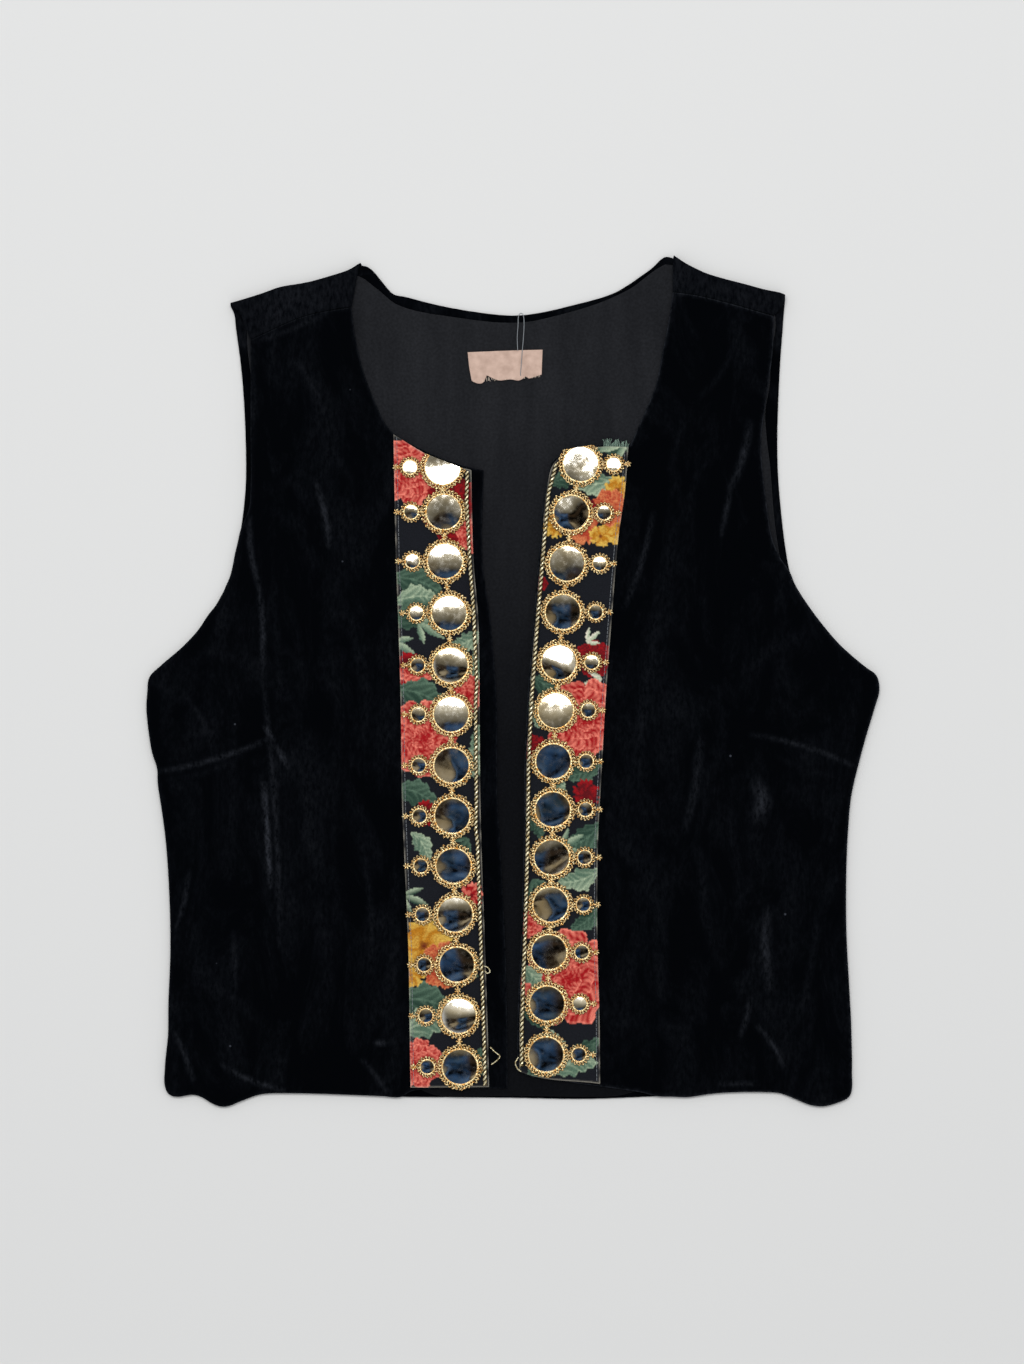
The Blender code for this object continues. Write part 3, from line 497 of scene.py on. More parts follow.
def pressed(points, rows):
    """The height and the crush that a table of creases gives to each point."""
    height, crush = np.zeros(len(points)), np.zeros(len(points))
    for x0, y0, x1, y1, bow, half_width, rise, strength in rows:
        line = bowed(x0, y0, x1, y1, bow)
        off = distance(points, line) / MM
        away = off / half_width
        run = line[-1] - line[0]
        along = np.clip(((points - line[0]) @ run) / (run @ run), 0, 1)
        fade = 0.35 + 0.65 * np.sin(np.pi * np.clip(along, 0.02, 0.98))
        shape = np.exp(-away**2) * fade
        height += rise * MM * shape
        if rise < 0:
            height -= FLANK_SHARE * rise * MM * np.exp(-(away / FLANK_WIDTH)**2) * fade
        marked = max(LINE_WIDTH, PATCH_SHARE * (half_width - PATCH_FROM))
        mark = strength**FAINTNESS * np.exp(-(off / marked)**2) * fade
        crush = np.maximum(crush, mark)
    return height, crush


print("creases:", {node: len(rows) for node, rows in CREASES.items()})

# %% [markdown]
# Soft cloth never keeps the straight lines of its pattern. Each row here draws an outline
# a few millimetres aside near one place: a hem corner, a neck point, the edge of the
# lining. Columns: x, y, how far the pull reaches, its way right and its way up, in mm.
# %% Small pulls on the outlines
LEFT_HEM, RIGHT_HEM = (-216, -258, 7, -1.8, -1.8), (211, -259, 7, 2.0, -2.2)
LEFT_SIDE, LEFT_DART = (-218, -221, 15, 1.0, 0), (-226, -54, 7, 1.6, 0)
LEFT_ARMHOLE = (-181, 56, 11, -2.2, 1.6)
RIGHT_WAVE, LEFT_WAVE = (110, -260, 10, 0, -1.2), (-188, -265, 6, 0, -1.2)
PULLS = {
    "front_left": (LEFT_HEM, LEFT_SIDE, LEFT_DART, LEFT_ARMHOLE, LEFT_WAVE),
    "front_right": (RIGHT_HEM, RIGHT_WAVE, (98.5, 267, 3.5, -0.2, -0.9)),
    "back_lining": ((-99, 251, 9, 0.5, 5.0), (97, 260, 8, 0.5, 3.0), (163, 170, 14, -3.5, 0),
                    (164.5, 204, 20, -2.2, 0), (162, 151, 12, -1.5, 0)),
    "back_panel": (LEFT_HEM, RIGHT_HEM, LEFT_SIDE, LEFT_DART, LEFT_ARMHOLE, RIGHT_WAVE,
                   LEFT_WAVE, (-75, 247, 6, 0, -1.9), (-148, 248, 8, 0, 0.8),
                   (-91, 257, 6.5, 0, 3.3), (-99, 261, 5, 0, 0.7), (-94.5, 260, 5, 0, 1.4),
                   (98, 262, 6, 0, 3.4), (95, 263, 4.5, 0, 1.2),
                   (-173, 241, 7, -4.6, -1.5), (169, 243, 9, 1.2, 1.6)),
}


def pulled(points, rows):
    """Flat points in metres, drawn aside near each place of a table."""
    moved = points.copy()
    for x, y, reach, right, up in rows:
        near = np.exp(-((points - np.array((x, y)) * MM)**2).sum(1) / (reach * MM)**2)
        moved += near[:, None] * np.array((right, up)) * MM
    return moved


print("pulls:", {node: len(rows) for node, rows in PULLS.items()})

# %% [markdown]
# A cloth shell has two faces a thickness apart that meet in a rounded edge, as turned
# cloth does. The heights read from the solid are evened out over the mesh, so its flat
# facets don't show, and then the creases are pressed in. A painted highlight, a thin
# pale line, runs along a turned edge where a piece has one.
# %% Lay a fine cloth on a solid
EVEN_LIMIT = 0.4 * MM      # how far evening may move the cloth off its solid
PRESS_DEPTH = 0.2 * MM     # how far a trough may sink into flat cloth that rests on more
EDGE_FADE, COVER_FADE = 4 * MM, 7 * MM      # creases die out near an edge or a piece on top
# Painted highlight: a thin pale line in the crush value along the turned edge of each front.
HIGHLIGHT_WIDTH = 0.7 * MM
EDGE_HIGHLIGHT = {"front_left": 0.22, "front_right": 0.5}
EDGE_ROWS, HELD = (0.2, 0.6, 1.2), 1.3      # as shares of the edge's rounding


def grid_points(ring, pitch, clear):
    """An even triangular grid inside an outline, kept clear of it."""
    low, high = ring.min(0), ring.max(0)
    row = pitch * math.sqrt(3) / 2
    points = []
    for k, y in enumerate(np.arange(low[1], high[1], row)):
        x = np.arange(low[0] + (k % 2) * pitch / 2, high[0], pitch)
        points.append(np.column_stack((x, np.full(len(x), y))))
    points = np.concatenate(points)
    points = points[inside(points, ring)]
    return points[distance(points, closed(ring)) > clear]


def inner_rings(ring, depths):
    """Rows of points just inside an outline, which shape its rounded edge."""
    run = np.roll(ring, -1, axis=0) - np.roll(ring, 1, axis=0)
    normal = np.column_stack((-run[:, 1], run[:, 0])) / np.linalg.norm(run, axis=1)[:, None]
    rows = []
    for depth in depths:
        points = ring + normal * depth
        points = points[inside(points, ring)]
        rows.append(points[distance(points, closed(ring)) > depth * 0.93])
    return np.concatenate(rows)


def filled(ring, pitch, edge):
    """Points and triangles that fill an outline: rows along its edge, a grid within."""
    rows = inner_rings(ring, [edge * share for share in EDGE_ROWS])
    grid = grid_points(ring, pitch, max(pitch * 0.6, edge * EDGE_ROWS[-1] + pitch * 0.45))
    flat = [Vector(p) for p in np.concatenate((ring, rows, grid))]
    flat, _, faces, *_ = delaunay_2d_cdt(flat, [], [list(range(len(ring)))], 1, 1e-6, False)
    flat, faces = np.array([p[:] for p in flat]), np.array(faces)
    return flat, faces[inside(flat[faces].mean(axis=1), ring)]


def heights_on(surface, flat):
    """The height of a surface straight below each point, or at its nearest place."""
    tree = BVHTree.FromBMesh(surface)
    heights = []
    for x, y in flat:
        hit = tree.ray_cast(Vector((x, y, 0.1)), Vector((0, 0, -1)))[0]
        if hit is None:
            hit = tree.find_nearest(Vector((x, y, 0.005)))[0]
        heights.append(hit.z)
    return np.array(heights)


def evened(height, pairs, fixed, rounds):
    """Heights averaged with their neighbours, which smooths facets away."""
    count = np.zeros(len(height))
    np.add.at(count, pairs[:, 0], 1)
    np.add.at(count, pairs[:, 1], 1)
    for _ in range(rounds):
        total = np.zeros(len(height))
        np.add.at(total, pairs[:, 0], height[pairs[:, 1]])
        np.add.at(total, pairs[:, 1], height[pairs[:, 0]])
        height = np.where(fixed, height, 0.4 * height + 0.6 * total / np.maximum(count, 1))
    return height


def creased(node, flat, top, away, under):
    """Heights with a piece's creases pressed in, and its crush value: how far its pile is
    crushed, plus a painted highlight along its edge.
    """
    rise, crush = pressed(flat, CREASES.get(node, ()))
    # Painted highlight along the turned edge, kept in the crush value.
    crush = np.maximum(crush, EDGE_HIGHLIGHT.get(node, 0) * np.exp(-(away / HIGHLIGHT_WIDTH)**2))
    rise = rise * ease(away / EDGE_FADE)
    if under is not None:
        covered = distance(flat, closed(under))
        rise = rise * np.where(inside(flat, under), 0, ease(covered / COVER_FADE))
    rise = np.maximum(rise, np.minimum(np.median(top) - PRESS_DEPTH - top, 0))
    return top + rise, crush


print("cloth measures ready")

# %% [markdown]
# The shell itself: the upper points and their copies below share the outline's own
# points, so the two faces close along it. Laying a cloth then takes these steps in turn.
# %% Cloth shells


def shell(name, flat, faces, top, away, crush, thickness, finish):
    """A closed cloth object, and the flat places of all its points."""
    edge = thickness / 2
    rounding = edge * (1 - np.sqrt(1 - (1 - np.clip(away / edge, 0, 1))**2))
    rim = away < 1e-6
    count = len(flat)
    lower = np.where(rim, np.arange(count), 0)
    lower[~rim] = count + np.arange((~rim).sum())
    upper_points = np.column_stack((flat, top - rounding))
    lower_points = np.column_stack((flat, top - thickness + rounding))[~rim]
    both = np.concatenate((faces, lower[faces[:, ::-1]]))
    mesh = bpy.data.meshes.new(name)
    mesh.from_pydata(np.concatenate((upper_points, lower_points)).tolist(), [], both.tolist())
    value = mesh.attributes.new("crush", "FLOAT", "POINT")
    value.data.foreach_set("value", np.concatenate((crush, crush[~rim])))
    mesh.materials.append(finish)
    mesh.shade_smooth()
    piece = bpy.data.objects.new(name, mesh)
    bpy.context.scene.collection.objects.link(piece)
    return piece, np.concatenate((flat, flat[~rim]))


def lay_cloth(node, name, finish, pitch, thickness, rounds, under=None):
    """A fine cloth shell on a solid's upper side, flat below another piece's outline."""
    surface = upper_side(node)
    ring = pulled(smooth_rim(rim_of(surface), pitch), PULLS.get(node, ()))
    flat, faces = filled(ring, pitch, thickness / 2)
    top = heights_on(surface, flat)
    surface.free()
    away = distance(flat, closed(ring))
    pairs = np.unique(np.sort(np.concatenate((faces[:, :2], faces[:, 1:], faces[:, ::2])), 1),
                      axis=0)
    change = evened(top, pairs, away < thickness / 2 * HELD, rounds) - top
    top = top + EVEN_LIMIT * np.tanh(change / EVEN_LIMIT)
    top, crush = creased(node, flat, top, away, under)
    piece, points = shell(name, flat, faces, top, away, crush, thickness, finish)
    area = 0.5 * abs(np.sum(ring[:, 0] * np.roll(ring[:, 1], -1)
                            - ring[:, 1] * np.roll(ring[:, 0], -1)))
    print(name, 2 * len(faces), "triangles, cut", round(area, 4), "m2")
    return piece, area, points, ring


print("cloth layer ready")

# %% [markdown]
# The two fronts and the lining are laid now. Each is attached to the root in place of
# its solid, and laying it prints the area it was cut to.
# %% Fronts and lining


def declare(piece, node):
    """Attach a cloth piece to the root and hide its solid."""
    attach(piece, "root")
    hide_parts(node)


band_rims = {side: rim_of(upper_side(f"band_{side}")) for side in SIDES}
for side in SIDES:
    node = f"front_{side}"
    piece, area, *_ = lay_cloth(node, f"velvet_{node}", velvet, pitch=1.8 * MM,
                                thickness=1.6 * MM, rounds=70, under=band_rims[side])
    declare(piece, node)
piece, area, *_ = lay_cloth("back_lining", "cotton_back_lining", lining, pitch=4.5 * MM,
                            thickness=1.0 * MM, rounds=4)
declare(piece, "back_lining")

# %% [markdown]
# The back is one piece of velvet that turns over both shoulders, so it isn't a simple
# height over a plane. Its solid already has that form, so a copy is merged, its rims are
# creased and a subdivision surface rounds the turned shoulders. That surface would cut
# the corners of the outline, so a corner is held the more, the sharper it turns.
# The pile is worn a little grey where the cloth is carried over the shoulders.
# %% Back
BACK_LEVELS = 2
RIM_ANGLE = math.radians(50)
SHOULDER_WEAR, SHOULDER_X, SHOULDER_Y = 0.1, 95 * MM, 205 * MM
back_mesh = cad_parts["back_panel"].data.copy()
back_mesh.name = "velvet_back_panel"
body = bmesh.new()
body.from_mesh(back_mesh)
bmesh.ops.remove_doubles(body, verts=body.verts, dist=1e-6)
crease_layer = body.edges.layers.float.new("crease_edge")
hold_layer = body.verts.layers.float.new("crease_vert")
for edge in body.edges:
    turn = edge.calc_face_angle(0.0)
    (x0, y0, _), (x1, y1, _) = (vert.co for vert in edge.verts)
    upright = math.hypot(x1 - x0, y1 - y0) < 0.5 * edge.calc_length()
    if turn > RIM_ANGLE:
        edge[crease_layer] = 1.0 if upright else 0.7
    if upright:
        for vert in edge.verts:
            vert[hold_layer] = max(vert[hold_layer], min(1.0, turn / RIM_ANGLE))
body.to_mesh(back_mesh)
body.free()
back_mesh.materials.clear()
back_mesh.materials.append(velvet)
back_mesh.shade_smooth()
back = bpy.data.objects.new("velvet_back_panel", back_mesh)
bpy.context.scene.collection.objects.link(back)
rounder = back.modifiers.new("rounded", "SUBSURF")
rounder.levels = rounder.render_levels = BACK_LEVELS
graph = bpy.context.evaluated_depsgraph_get()
rounded = bpy.data.meshes.new_from_object(back.evaluated_get(graph))
back.modifiers.clear()
places = np.array([vert.co[:] for vert in rounded.vertices])
places[:, :2] = pulled(places[:, :2], PULLS["back_panel"])
rounded.vertices.foreach_set("co", places.ravel())
lightening = SHOULDER_WEAR * ease((np.abs(places[:, 0]) - SHOULDER_X) / (4 * MM))
lightening *= ease((places[:, 1] - SHOULDER_Y) / (10 * MM))
rounded.attributes.new("crush", "FLOAT", "POINT").data.foreach_set("value", lightening)
rounded.update()
back.data = rounded
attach(back, "root")
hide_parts("back_panel")

# %% [markdown]
# The bands are cut from a dark cotton with an ordinary garden print: roses, leaves and
# small blossoms. Each motif is a short rule in its own frame, so it is drawn at any
# size and turn, and later motifs are printed over earlier ones. A rose is built as a
# print maker would: rings of broad petals, the inner ones over the outer ones.
# %% Inks and motifs
FULL_TURN = 2 * math.pi
INK = {name: np.array(linear(code)[:3]) for name, code in {
    "ground": "#15171d", "wine": "#5f0f16", "crimson": "#a11118", "coral": "#fa8d78",
    "pine": "#2a4236", "sage": "#58725f", "mist": "#a9b99b", "mustard": "#b8781c",
    "lemon": "#e2bc58", "rust": "#b0402a", "apricot": "#dc8756",
    "cream": "#e8e0cc"}.items()}
# Petals in a ring, their distance from the heart and their radius, as shares of the size.
ROSE_RINGS = ((7, 0.62, 0.38), (6, 0.42, 0.36), (5, 0.24, 0.28), (3, 0.1, 0.2))


def local(points, x, y, turn):
    """Points in a motif's own frame, which is turned anticlockwise by degrees."""
    angle = math.radians(turn)
    right, up = points[:, 0] - x, points[:, 1] - y
    return (right * math.cos(angle) + up * math.sin(angle),
            up * math.cos(angle) - right * math.sin(angle))


def lay_ink(colour, where, dark, light, share):
    """Colour the points of a motif, each between two inks."""
    share = np.clip(share, 0, 1)[where, None]
    colour[where] = INK[dark] * (1 - share) + INK[light] * share


def rose(points, colour, x, y, size, turn, dark, light):
    """Rings of petals laid inwards, each dark at its foot, streaked, and pale at its lip."""
    for ring, (count, reach, wide) in enumerate(ROSE_RINGS):
        for petal in range(count):
            u, v = local(points, x, y, turn + 360 * petal / count + 47 * ring)
            along, side = (u / size - reach) / wide, v / (size * wide)
            ripple = 0.1 * np.sin(5 * np.arctan2(side, along) + 2 * petal + ring)
            out = np.hypot(along, side) + ripple
            streak = 0.44 * np.sin(13 * side + 4 * np.sin(3 * along + petal))
            streak *= np.sin(4 * along + 5 * side + 2 * petal + ring)
            share = 0.12 + 0.36 * along + 0.24 * side + streak + 0.36 * (out > 0.9)
            lay_ink(colour, out < 1, dark, light, share)


def leaf(points, colour, x, y, size, turn, dark, light):
    """A toothed leaf that starts at x, y, with a pale midrib and side veins."""
    u, v = local(points, x, y, turn)
    u, v = u / size, v / size
    v = v - 0.1 * np.sin(np.pi * u)
    lobes = 1 + 0.14 * np.sin(31 * u + 6 * v) + 0.1 * np.sin(13 * u + 2)
    wide = 0.24 * np.sin(np.pi * np.clip(u, 0, 1))**0.8 * lobes
    vein = 0.5 + 0.5 * np.sin(FULL_TURN * (u * 6 - np.abs(v) * 7) + 2 * np.sin(9 * u))
    edge = np.abs(v) > wide - 0.035
    share = 0.08 + 0.5 * vein**2 + 0.5 * (np.abs(v) < 0.016) + 1.8 * v + 0.45 * edge
    lay_ink(colour, (u > 0) & (u < 1) & (np.abs(v) < wide), dark, light, share)


def sprig(points, colour, x, y, size, turn, dark, light):
    """A fan of three narrow leaves on one stalk."""
    for spread, reach in ((-42, 0.75), (38, 0.8), (0, 1.0)):
        u, v = local(points, x, y, turn + spread)
        u, v = u / (size * reach), v / (size * reach)
        wide = 0.13 * np.sin(np.pi * np.clip(u, 0, 1))
        lay_ink(colour, (u > 0) & (u < 1) & (np.abs(v) < wide), dark, light, 0.45 + 5 * v)


def blossom(points, colour, x, y, size, turn, dark, light):
    """Open, frilled petals round a small dark heart."""
    u, v = local(points, x, y, turn)
    angle, out = np.arctan2(v, u), np.hypot(u, v) / size
    bent = angle + 0.35 * np.sin(3 * angle + 7 * out)
    rim = 0.66 + 0.24 * np.abs(np.cos(2.5 * bent)) + 0.08 * np.sin(17 * angle)
    between = np.abs(np.sin(2.5 * bent))**5
    share = 0.1 + 0.9 * out - 0.9 * between + 0.22 * np.sin(33 * bent + 6 * out)
    lay_ink(colour, out < rim, dark, light, share)
    lay_ink(colour, out < 0.16 + 0.05 * np.sin(4 * angle), "wine", dark, out * 4)


print("motifs ready")

# %% [markdown]
# Where each motif is printed. The two bands are cut from different places of the same
# cloth, so each has its own table. Columns: motif, x, y, size, turn, pair of inks.
# %% Print of the two bands
# Painted highlight along each band's fold: its width and strength.
FOLD_WIDTH, FOLD_HIGHLIGHT = 0.6 * MM, 0.36
INK_PAIRS = {      # each a dark and a light ink
    "red": ("crimson", "coral"), "dark red": ("wine", "crimson"), "green": ("pine", "sage"),
    "pale green": ("sage", "mist"), "grey green": ("pine", "mist"),
    "yellow": ("mustard", "lemon"), "orange": ("rust", "apricot"), "white": ("mist", "cream")}
PRINTS = {
    "left": (
        (rose, -64, 133, 22, 20, "red"), (rose, -35, 108, 22, 200, "dark red"),
        (rose, -25, 92, 11, 60, "red"), (leaf, -78, 66, 36, -18, "green"),
        (leaf, -76, 50, 30, 4, "pale green"), (leaf, -78, 34, 36, 20, "green"),
        (sprig, -76, 26, 17, -30, "pale green"), (sprig, -60, 38, 20, -32, "pale green"),
        (leaf, -20, 32, 22, 205, "pale green"), (leaf, -19, 16, 24, 240, "green"),
        (sprig, -22, 2, 18, 100, "pale green"), (blossom, -66, 8, 12, 15, "dark red"),
        (leaf, -50, 4, 24, 172, "red"), (leaf, -76, -4, 38, -22, "green"),
        (rose, -28, -7, 12, 30, "red"), (rose, -57, -35, 25, 70, "red"),
        (leaf, -20, -26, 20, 250, "pale green"), (leaf, -36, -50, 26, -20, "pale green"),
        (sprig, -24, -60, 18, 95, "pale green"), (leaf, -76, -66, 32, -24, "green"),
        (blossom, -54, -82, 9, 40, "dark red"), (leaf, -64, -94, 22, -60, "pale green"),
        (sprig, -28, -98, 17, 230, "green"), (blossom, -26, -134, 9, 0, "red"),
        (leaf, -40, -144, 22, 214, "green"), (sprig, -70, -134, 18, -20, "grey green"),
        (blossom, -56, -166, 20, 12, "yellow"), (rose, -44, -178, 15, 80, "orange"),
        (blossom, -66, -184, 11, 50, "yellow"), (leaf, -22, -172, 24, 226, "green"),
        (leaf, -76, -200, 42, -12, "green"), (leaf, -72, -222, 36, 14, "pale green"),
        (leaf, -34, -206, 22, 190, "pale green"), (rose, -60, -240, 16, 30, "red"),
        (leaf, -20, -230, 24, 244, "green"), (sprig, -38, -256, 20, 40, "pale green"),
    ),
    "right": (
        (leaf, 52, 146, 30, 8, "green"), (sprig, 72, 152, 20, 200, "pale green"),
        (leaf, 64, 128, 28, 182, "pale green"), (leaf, 22, 124, 22, 10, "green"),
        (blossom, 66, 121, 10, 20, "yellow"), (blossom, 68, 98, 15, 50, "yellow"),
        (rose, 61, 110, 12, 10, "orange"), (leaf, 54, 111, 15, 160, "dark red"),
        (blossom, 44, 98, 13, 30, "orange"), (blossom, 26, 99, 9, 0, "yellow"),
        (blossom, 55, 92, 8, 70, "yellow"), (rose, 17, 62, 5, 0, "dark red"),
        (rose, 51, 15, 12, 40, "dark red"), (sprig, 46, 25, 12, 40, "white"),
        (sprig, 56, 3, 13, 200, "white"), (leaf, 10, 4, 24, -42, "green"),
        (leaf, 10, -12, 18, -70, "pale green"), (rose, 45, -23, 26, 15, "red"),
        (rose, 14, -42, 9, 0, "dark red"), (leaf, 56, -50, 26, 200, "green"),
        (leaf, 32, -62, 18, 236, "pale green"), (blossom, 46, -70, 10, 20, "dark red"),
        (leaf, 56, -88, 30, 214, "green"), (sprig, 30, -104, 17, 30, "pale green"),
        (leaf, 55, -118, 28, 196, "pale green"), (leaf, 8, -84, 18, -54, "green"),
        (sprig, 12, -124, 17, -60, "green"), (rose, 11, -152, 9, 0, "red"),
        (leaf, 54, -140, 24, 222, "green"), (rose, 35, -186, 31, 35, "red"),
        (leaf, 4, -178, 22, -50, "pale green"), (leaf, 5, -206, 22, -36, "green"),
        (leaf, 12, -224, 24, -20, "pale green"), (leaf, 54, -224, 28, 214, "green"),
        (leaf, 22, -246, 32, 12, "pale green"), (sprig, 8, -250, 17, 20, "green"),
    ),
}


def paint_print(piece, flat, side, ring):
    """Print a band's motifs on its mesh, with a painted highlight here and there along its fold."""
    points = flat / MM
    colour = np.tile(INK["ground"], (len(points), 1))
    for motif, *row, inks in PRINTS[side]:
        motif(points, colour, *row, *INK_PAIRS[inks])
    # Painted highlight: a thin pale line along the fold, stronger in some places than others.
    fold = np.exp(-(distance(flat, closed(ring)) / FOLD_WIDTH)**2)
    patchy = 0.55 + 0.45 * np.sin(0.31 * points[:, 1] + 2 * np.sin(0.13 * points[:, 1]))
    colour += (INK["cream"] - colour) * (FOLD_HIGHLIGHT * fold * patchy)[:, None]
    layer = piece.data.attributes.new("print", "FLOAT_COLOR", "POINT")
    layer.data.foreach_set("color", np.column_stack((colour, np.ones(len(points)))).ravel())
    print(piece.name, len(PRINTS[side]), "motifs")


for side in SIDES:
    node = f"band_{side}"
    piece, area, flat, ring = lay_cloth(node, f"printed_{node}", printed, pitch=0.9 * MM,
                                        thickness=1.0 * MM, rounds=2)
    paint_print(piece, flat, side, ring)
    declare(piece, node)

# %% [markdown]
# The rest repeats: stitches round a mirror, twists along a cord, stitches along a seam.
# Geometry Nodes make those. Three helpers open a node group with named inputs, end it
# with real geometry and its material, and turn its result into a plain mesh.
# %% Geometry Nodes helpers


def new_group(name, sizes):
    """A node group with geometry in and out, and a named input for each size."""
    group = bpy.data.node_groups.new(name, "GeometryNodeTree")
    face = group.interface
    face.new_socket("Geometry", in_out="INPUT", socket_type="NodeSocketGeometry")
    sockets = {label: face.new_socket(label, in_out="INPUT", socket_type=kind).identifier
               for label, kind in sizes.items()}
    face.new_socket("Geometry", in_out="OUTPUT", socket_type="NodeSocketGeometry")
    return group, group.nodes.new("NodeGroupInput").outputs, sockets


def close_group(group, geometry, finish):
    """End a group with real geometry that wears its material."""
    real = add(group, "GeometryNodeRealizeInstances", {0: geometry})
    dressed = add(group, "GeometryNodeSetMaterial", {"Geometry": real.outputs[0],
                                                     "Material": finish})
    end = group.nodes.new("NodeGroupOutput")
    group.links.new(dressed.outputs[0], end.inputs[0])


def run_group(group, sockets, points, edges, values):
    """The plain mesh that a group makes from points and edges."""
    seed_mesh = bpy.data.meshes.new("seed")
    seed_mesh.from_pydata([tuple(p) for p in points], edges, [])
    worker = bpy.data.objects.new("worker", seed_mesh)
    bpy.context.scene.collection.objects.link(worker)
    modifier = worker.modifiers.new("made", "NODES")
    modifier.node_group = group
    for label, value in values.items():
        modifier[sockets[label]] = value
    graph = bpy.context.evaluated_depsgraph_get()
    made = bpy.data.meshes.new_from_object(worker.evaluated_get(graph))
    worker.modifiers.clear()
    bpy.data.objects.remove(worker)
    return made


def one_piece(name, meshes, finish):
    """One object from several meshes of the same finish."""
    whole = bmesh.new()
    for mesh in meshes:
        whole.from_mesh(mesh)
    mesh = bpy.data.meshes.new(name)
    whole.to_mesh(mesh)
    whole.free()
    mesh.materials.clear()
    mesh.materials.append(finish)
    mesh.shade_smooth()
    piece = bpy.data.objects.new(name, mesh)
    bpy.context.scene.collection.objects.link(piece)
    return piece


print("node helpers ready")

# %% [markdown]
# A frame round a mirror is embroidery: short stitches side by side, each an arch of
# thread from the mirror's edge outwards. The group makes one arch from three points,
# turns copies of it round a centre, and sets that ring on every mirror. Small random
# turns and sizes keep the hand-made look; their seeds are fixed.
# %% Group for a ring of stitches
ring_group, given, ring_sockets = new_group("ring_of_stitches", {
    "Stitches": "NodeSocketInt", "Foot": "NodeSocketVector", "Crown": "NodeSocketVector",
    "Tip": "NodeSocketVector", "Thread": "NodeSocketFloat", "Seed": "NodeSocketInt"})
arch = add(ring_group, "GeometryNodeCurveQuadraticBezier", {
    "Resolution": 4, "Start": given["Foot"], "Middle": given["Crown"], "End": given["Tip"]})
profile = add(ring_group, "GeometryNodeCurvePrimitiveCircle", {
    "Resolution": 5, "Radius": given["Thread"]})
stitch = add(ring_group, "GeometryNodeCurveToMesh", {
    "Curve": arch.outputs["Curve"], "Profile Curve": profile.outputs["Curve"],
    "Fill Caps": True})
places = add(ring_group, "GeometryNodeMeshLine", {
    "Count": given["Stitches"], "Start Location": (0, 0, 0), "Offset": (0, 0, 0)})
number = add(ring_group, "GeometryNodeInputIndex").outputs[0]
share = add(ring_group, "ShaderNodeMath", {0: number, 1: given["Stitches"]},
            operation="DIVIDE")
turn = add(ring_group, "ShaderNodeMath", {0: share.outputs[0], 1: FULL_TURN},
           operation="MULTIPLY")
slip = add(ring_group, "FunctionNodeRandomValue", {"Min": -0.035, "Max": 0.035,
                                                   "Seed": given["Seed"]}, data_type="FLOAT")
turn = add(ring_group, "ShaderNodeMath", {0: turn.outputs[0], 1: slip.outputs["Value"]})
spin = add(ring_group, "ShaderNodeCombineXYZ", {"Z": turn.outputs[0]})
size = add(ring_group, "FunctionNodeRandomValue", {"Min": 0.965, "Max": 1.035,
                                                   "Seed": given["Seed"]}, data_type="FLOAT")
ring = add(ring_group, "GeometryNodeInstanceOnPoints", {
    "Points": places.outputs["Mesh"], "Instance": stitch.outputs["Mesh"],
    "Rotation": spin.outputs["Vector"], "Scale": size.outputs["Value"]})
start = add(ring_group, "FunctionNodeRandomValue", {"Min": 0.0, "Max": FULL_TURN,
                                                    "Seed": 5}, data_type="FLOAT")
spin = add(ring_group, "ShaderNodeCombineXYZ", {"Z": start.outputs["Value"]})
rings = add(ring_group, "GeometryNodeInstanceOnPoints", {
    "Points": given["Geometry"], "Instance": ring.outputs["Instances"],
    "Rotation": spin.outputs["Vector"]})
close_group(ring_group, rings.outputs["Instances"], gold)
print(ring_group.name, len(ring_group.nodes), "nodes")

# %% [markdown]
# Two more groups. One couches a smooth thread in a circle round each mirror, which is
# the bright inner line of the frame. The other twists two strands along a path, for the
# edge cords and for the little bridges between frames.
# %% Groups for rims and twisted cords
rim_group, given, rim_sockets = new_group("couched_rim", {
    "Radius": "NodeSocketFloat", "Thread": "NodeSocketFloat"})
circle = add(rim_group, "GeometryNodeCurvePrimitiveCircle", {
    "Resolution": 40, "Radius": given["Radius"]})
profile = add(rim_group, "GeometryNodeCurvePrimitiveCircle", {
    "Resolution": 7, "Radius": given["Thread"]})
rim = add(rim_group, "GeometryNodeCurveToMesh", {
    "Curve": circle.outputs["Curve"], "Profile Curve": profile.outputs["Curve"]})
rims = add(rim_group, "GeometryNodeInstanceOnPoints", {
    "Points": given["Geometry"], "Instance": rim.outputs["Mesh"]})
close_group(rim_group, rims.outputs["Instances"], gold)

twist_group, given, twist_sockets = new_group("twisted_cord", {
    "Lay": "NodeSocketFloat", "Offset": "NodeSocketFloat", "Strand": "NodeSocketFloat",
    "Step": "NodeSocketFloat"})
route = add(twist_group, "GeometryNodeMeshToCurve", {"Mesh": given["Geometry"]})
route = add(twist_group, "GeometryNodeResampleCurve", {
    "Curve": route.outputs["Curve"], "Length": given["Step"]}, mode="LENGTH")
profile = add(twist_group, "GeometryNodeCurvePrimitiveCircle", {
    "Resolution": 7, "Radius": given["Strand"]})
done = add(twist_group, "GeometryNodeSplineParameter").outputs["Length"]
laps = add(twist_group, "ShaderNodeMath", {0: done, 1: given["Lay"]}, operation="DIVIDE")
angle = add(twist_group, "ShaderNodeMath", {0: laps.outputs[0], 1: FULL_TURN},
            operation="MULTIPLY")
normal = add(twist_group, "GeometryNodeInputNormal").outputs[0]
tangent = add(twist_group, "GeometryNodeInputTangent").outputs[0]
side_way = add(twist_group, "ShaderNodeVectorMath", {0: tangent, 1: normal},
               operation="CROSS_PRODUCT").outputs[0]
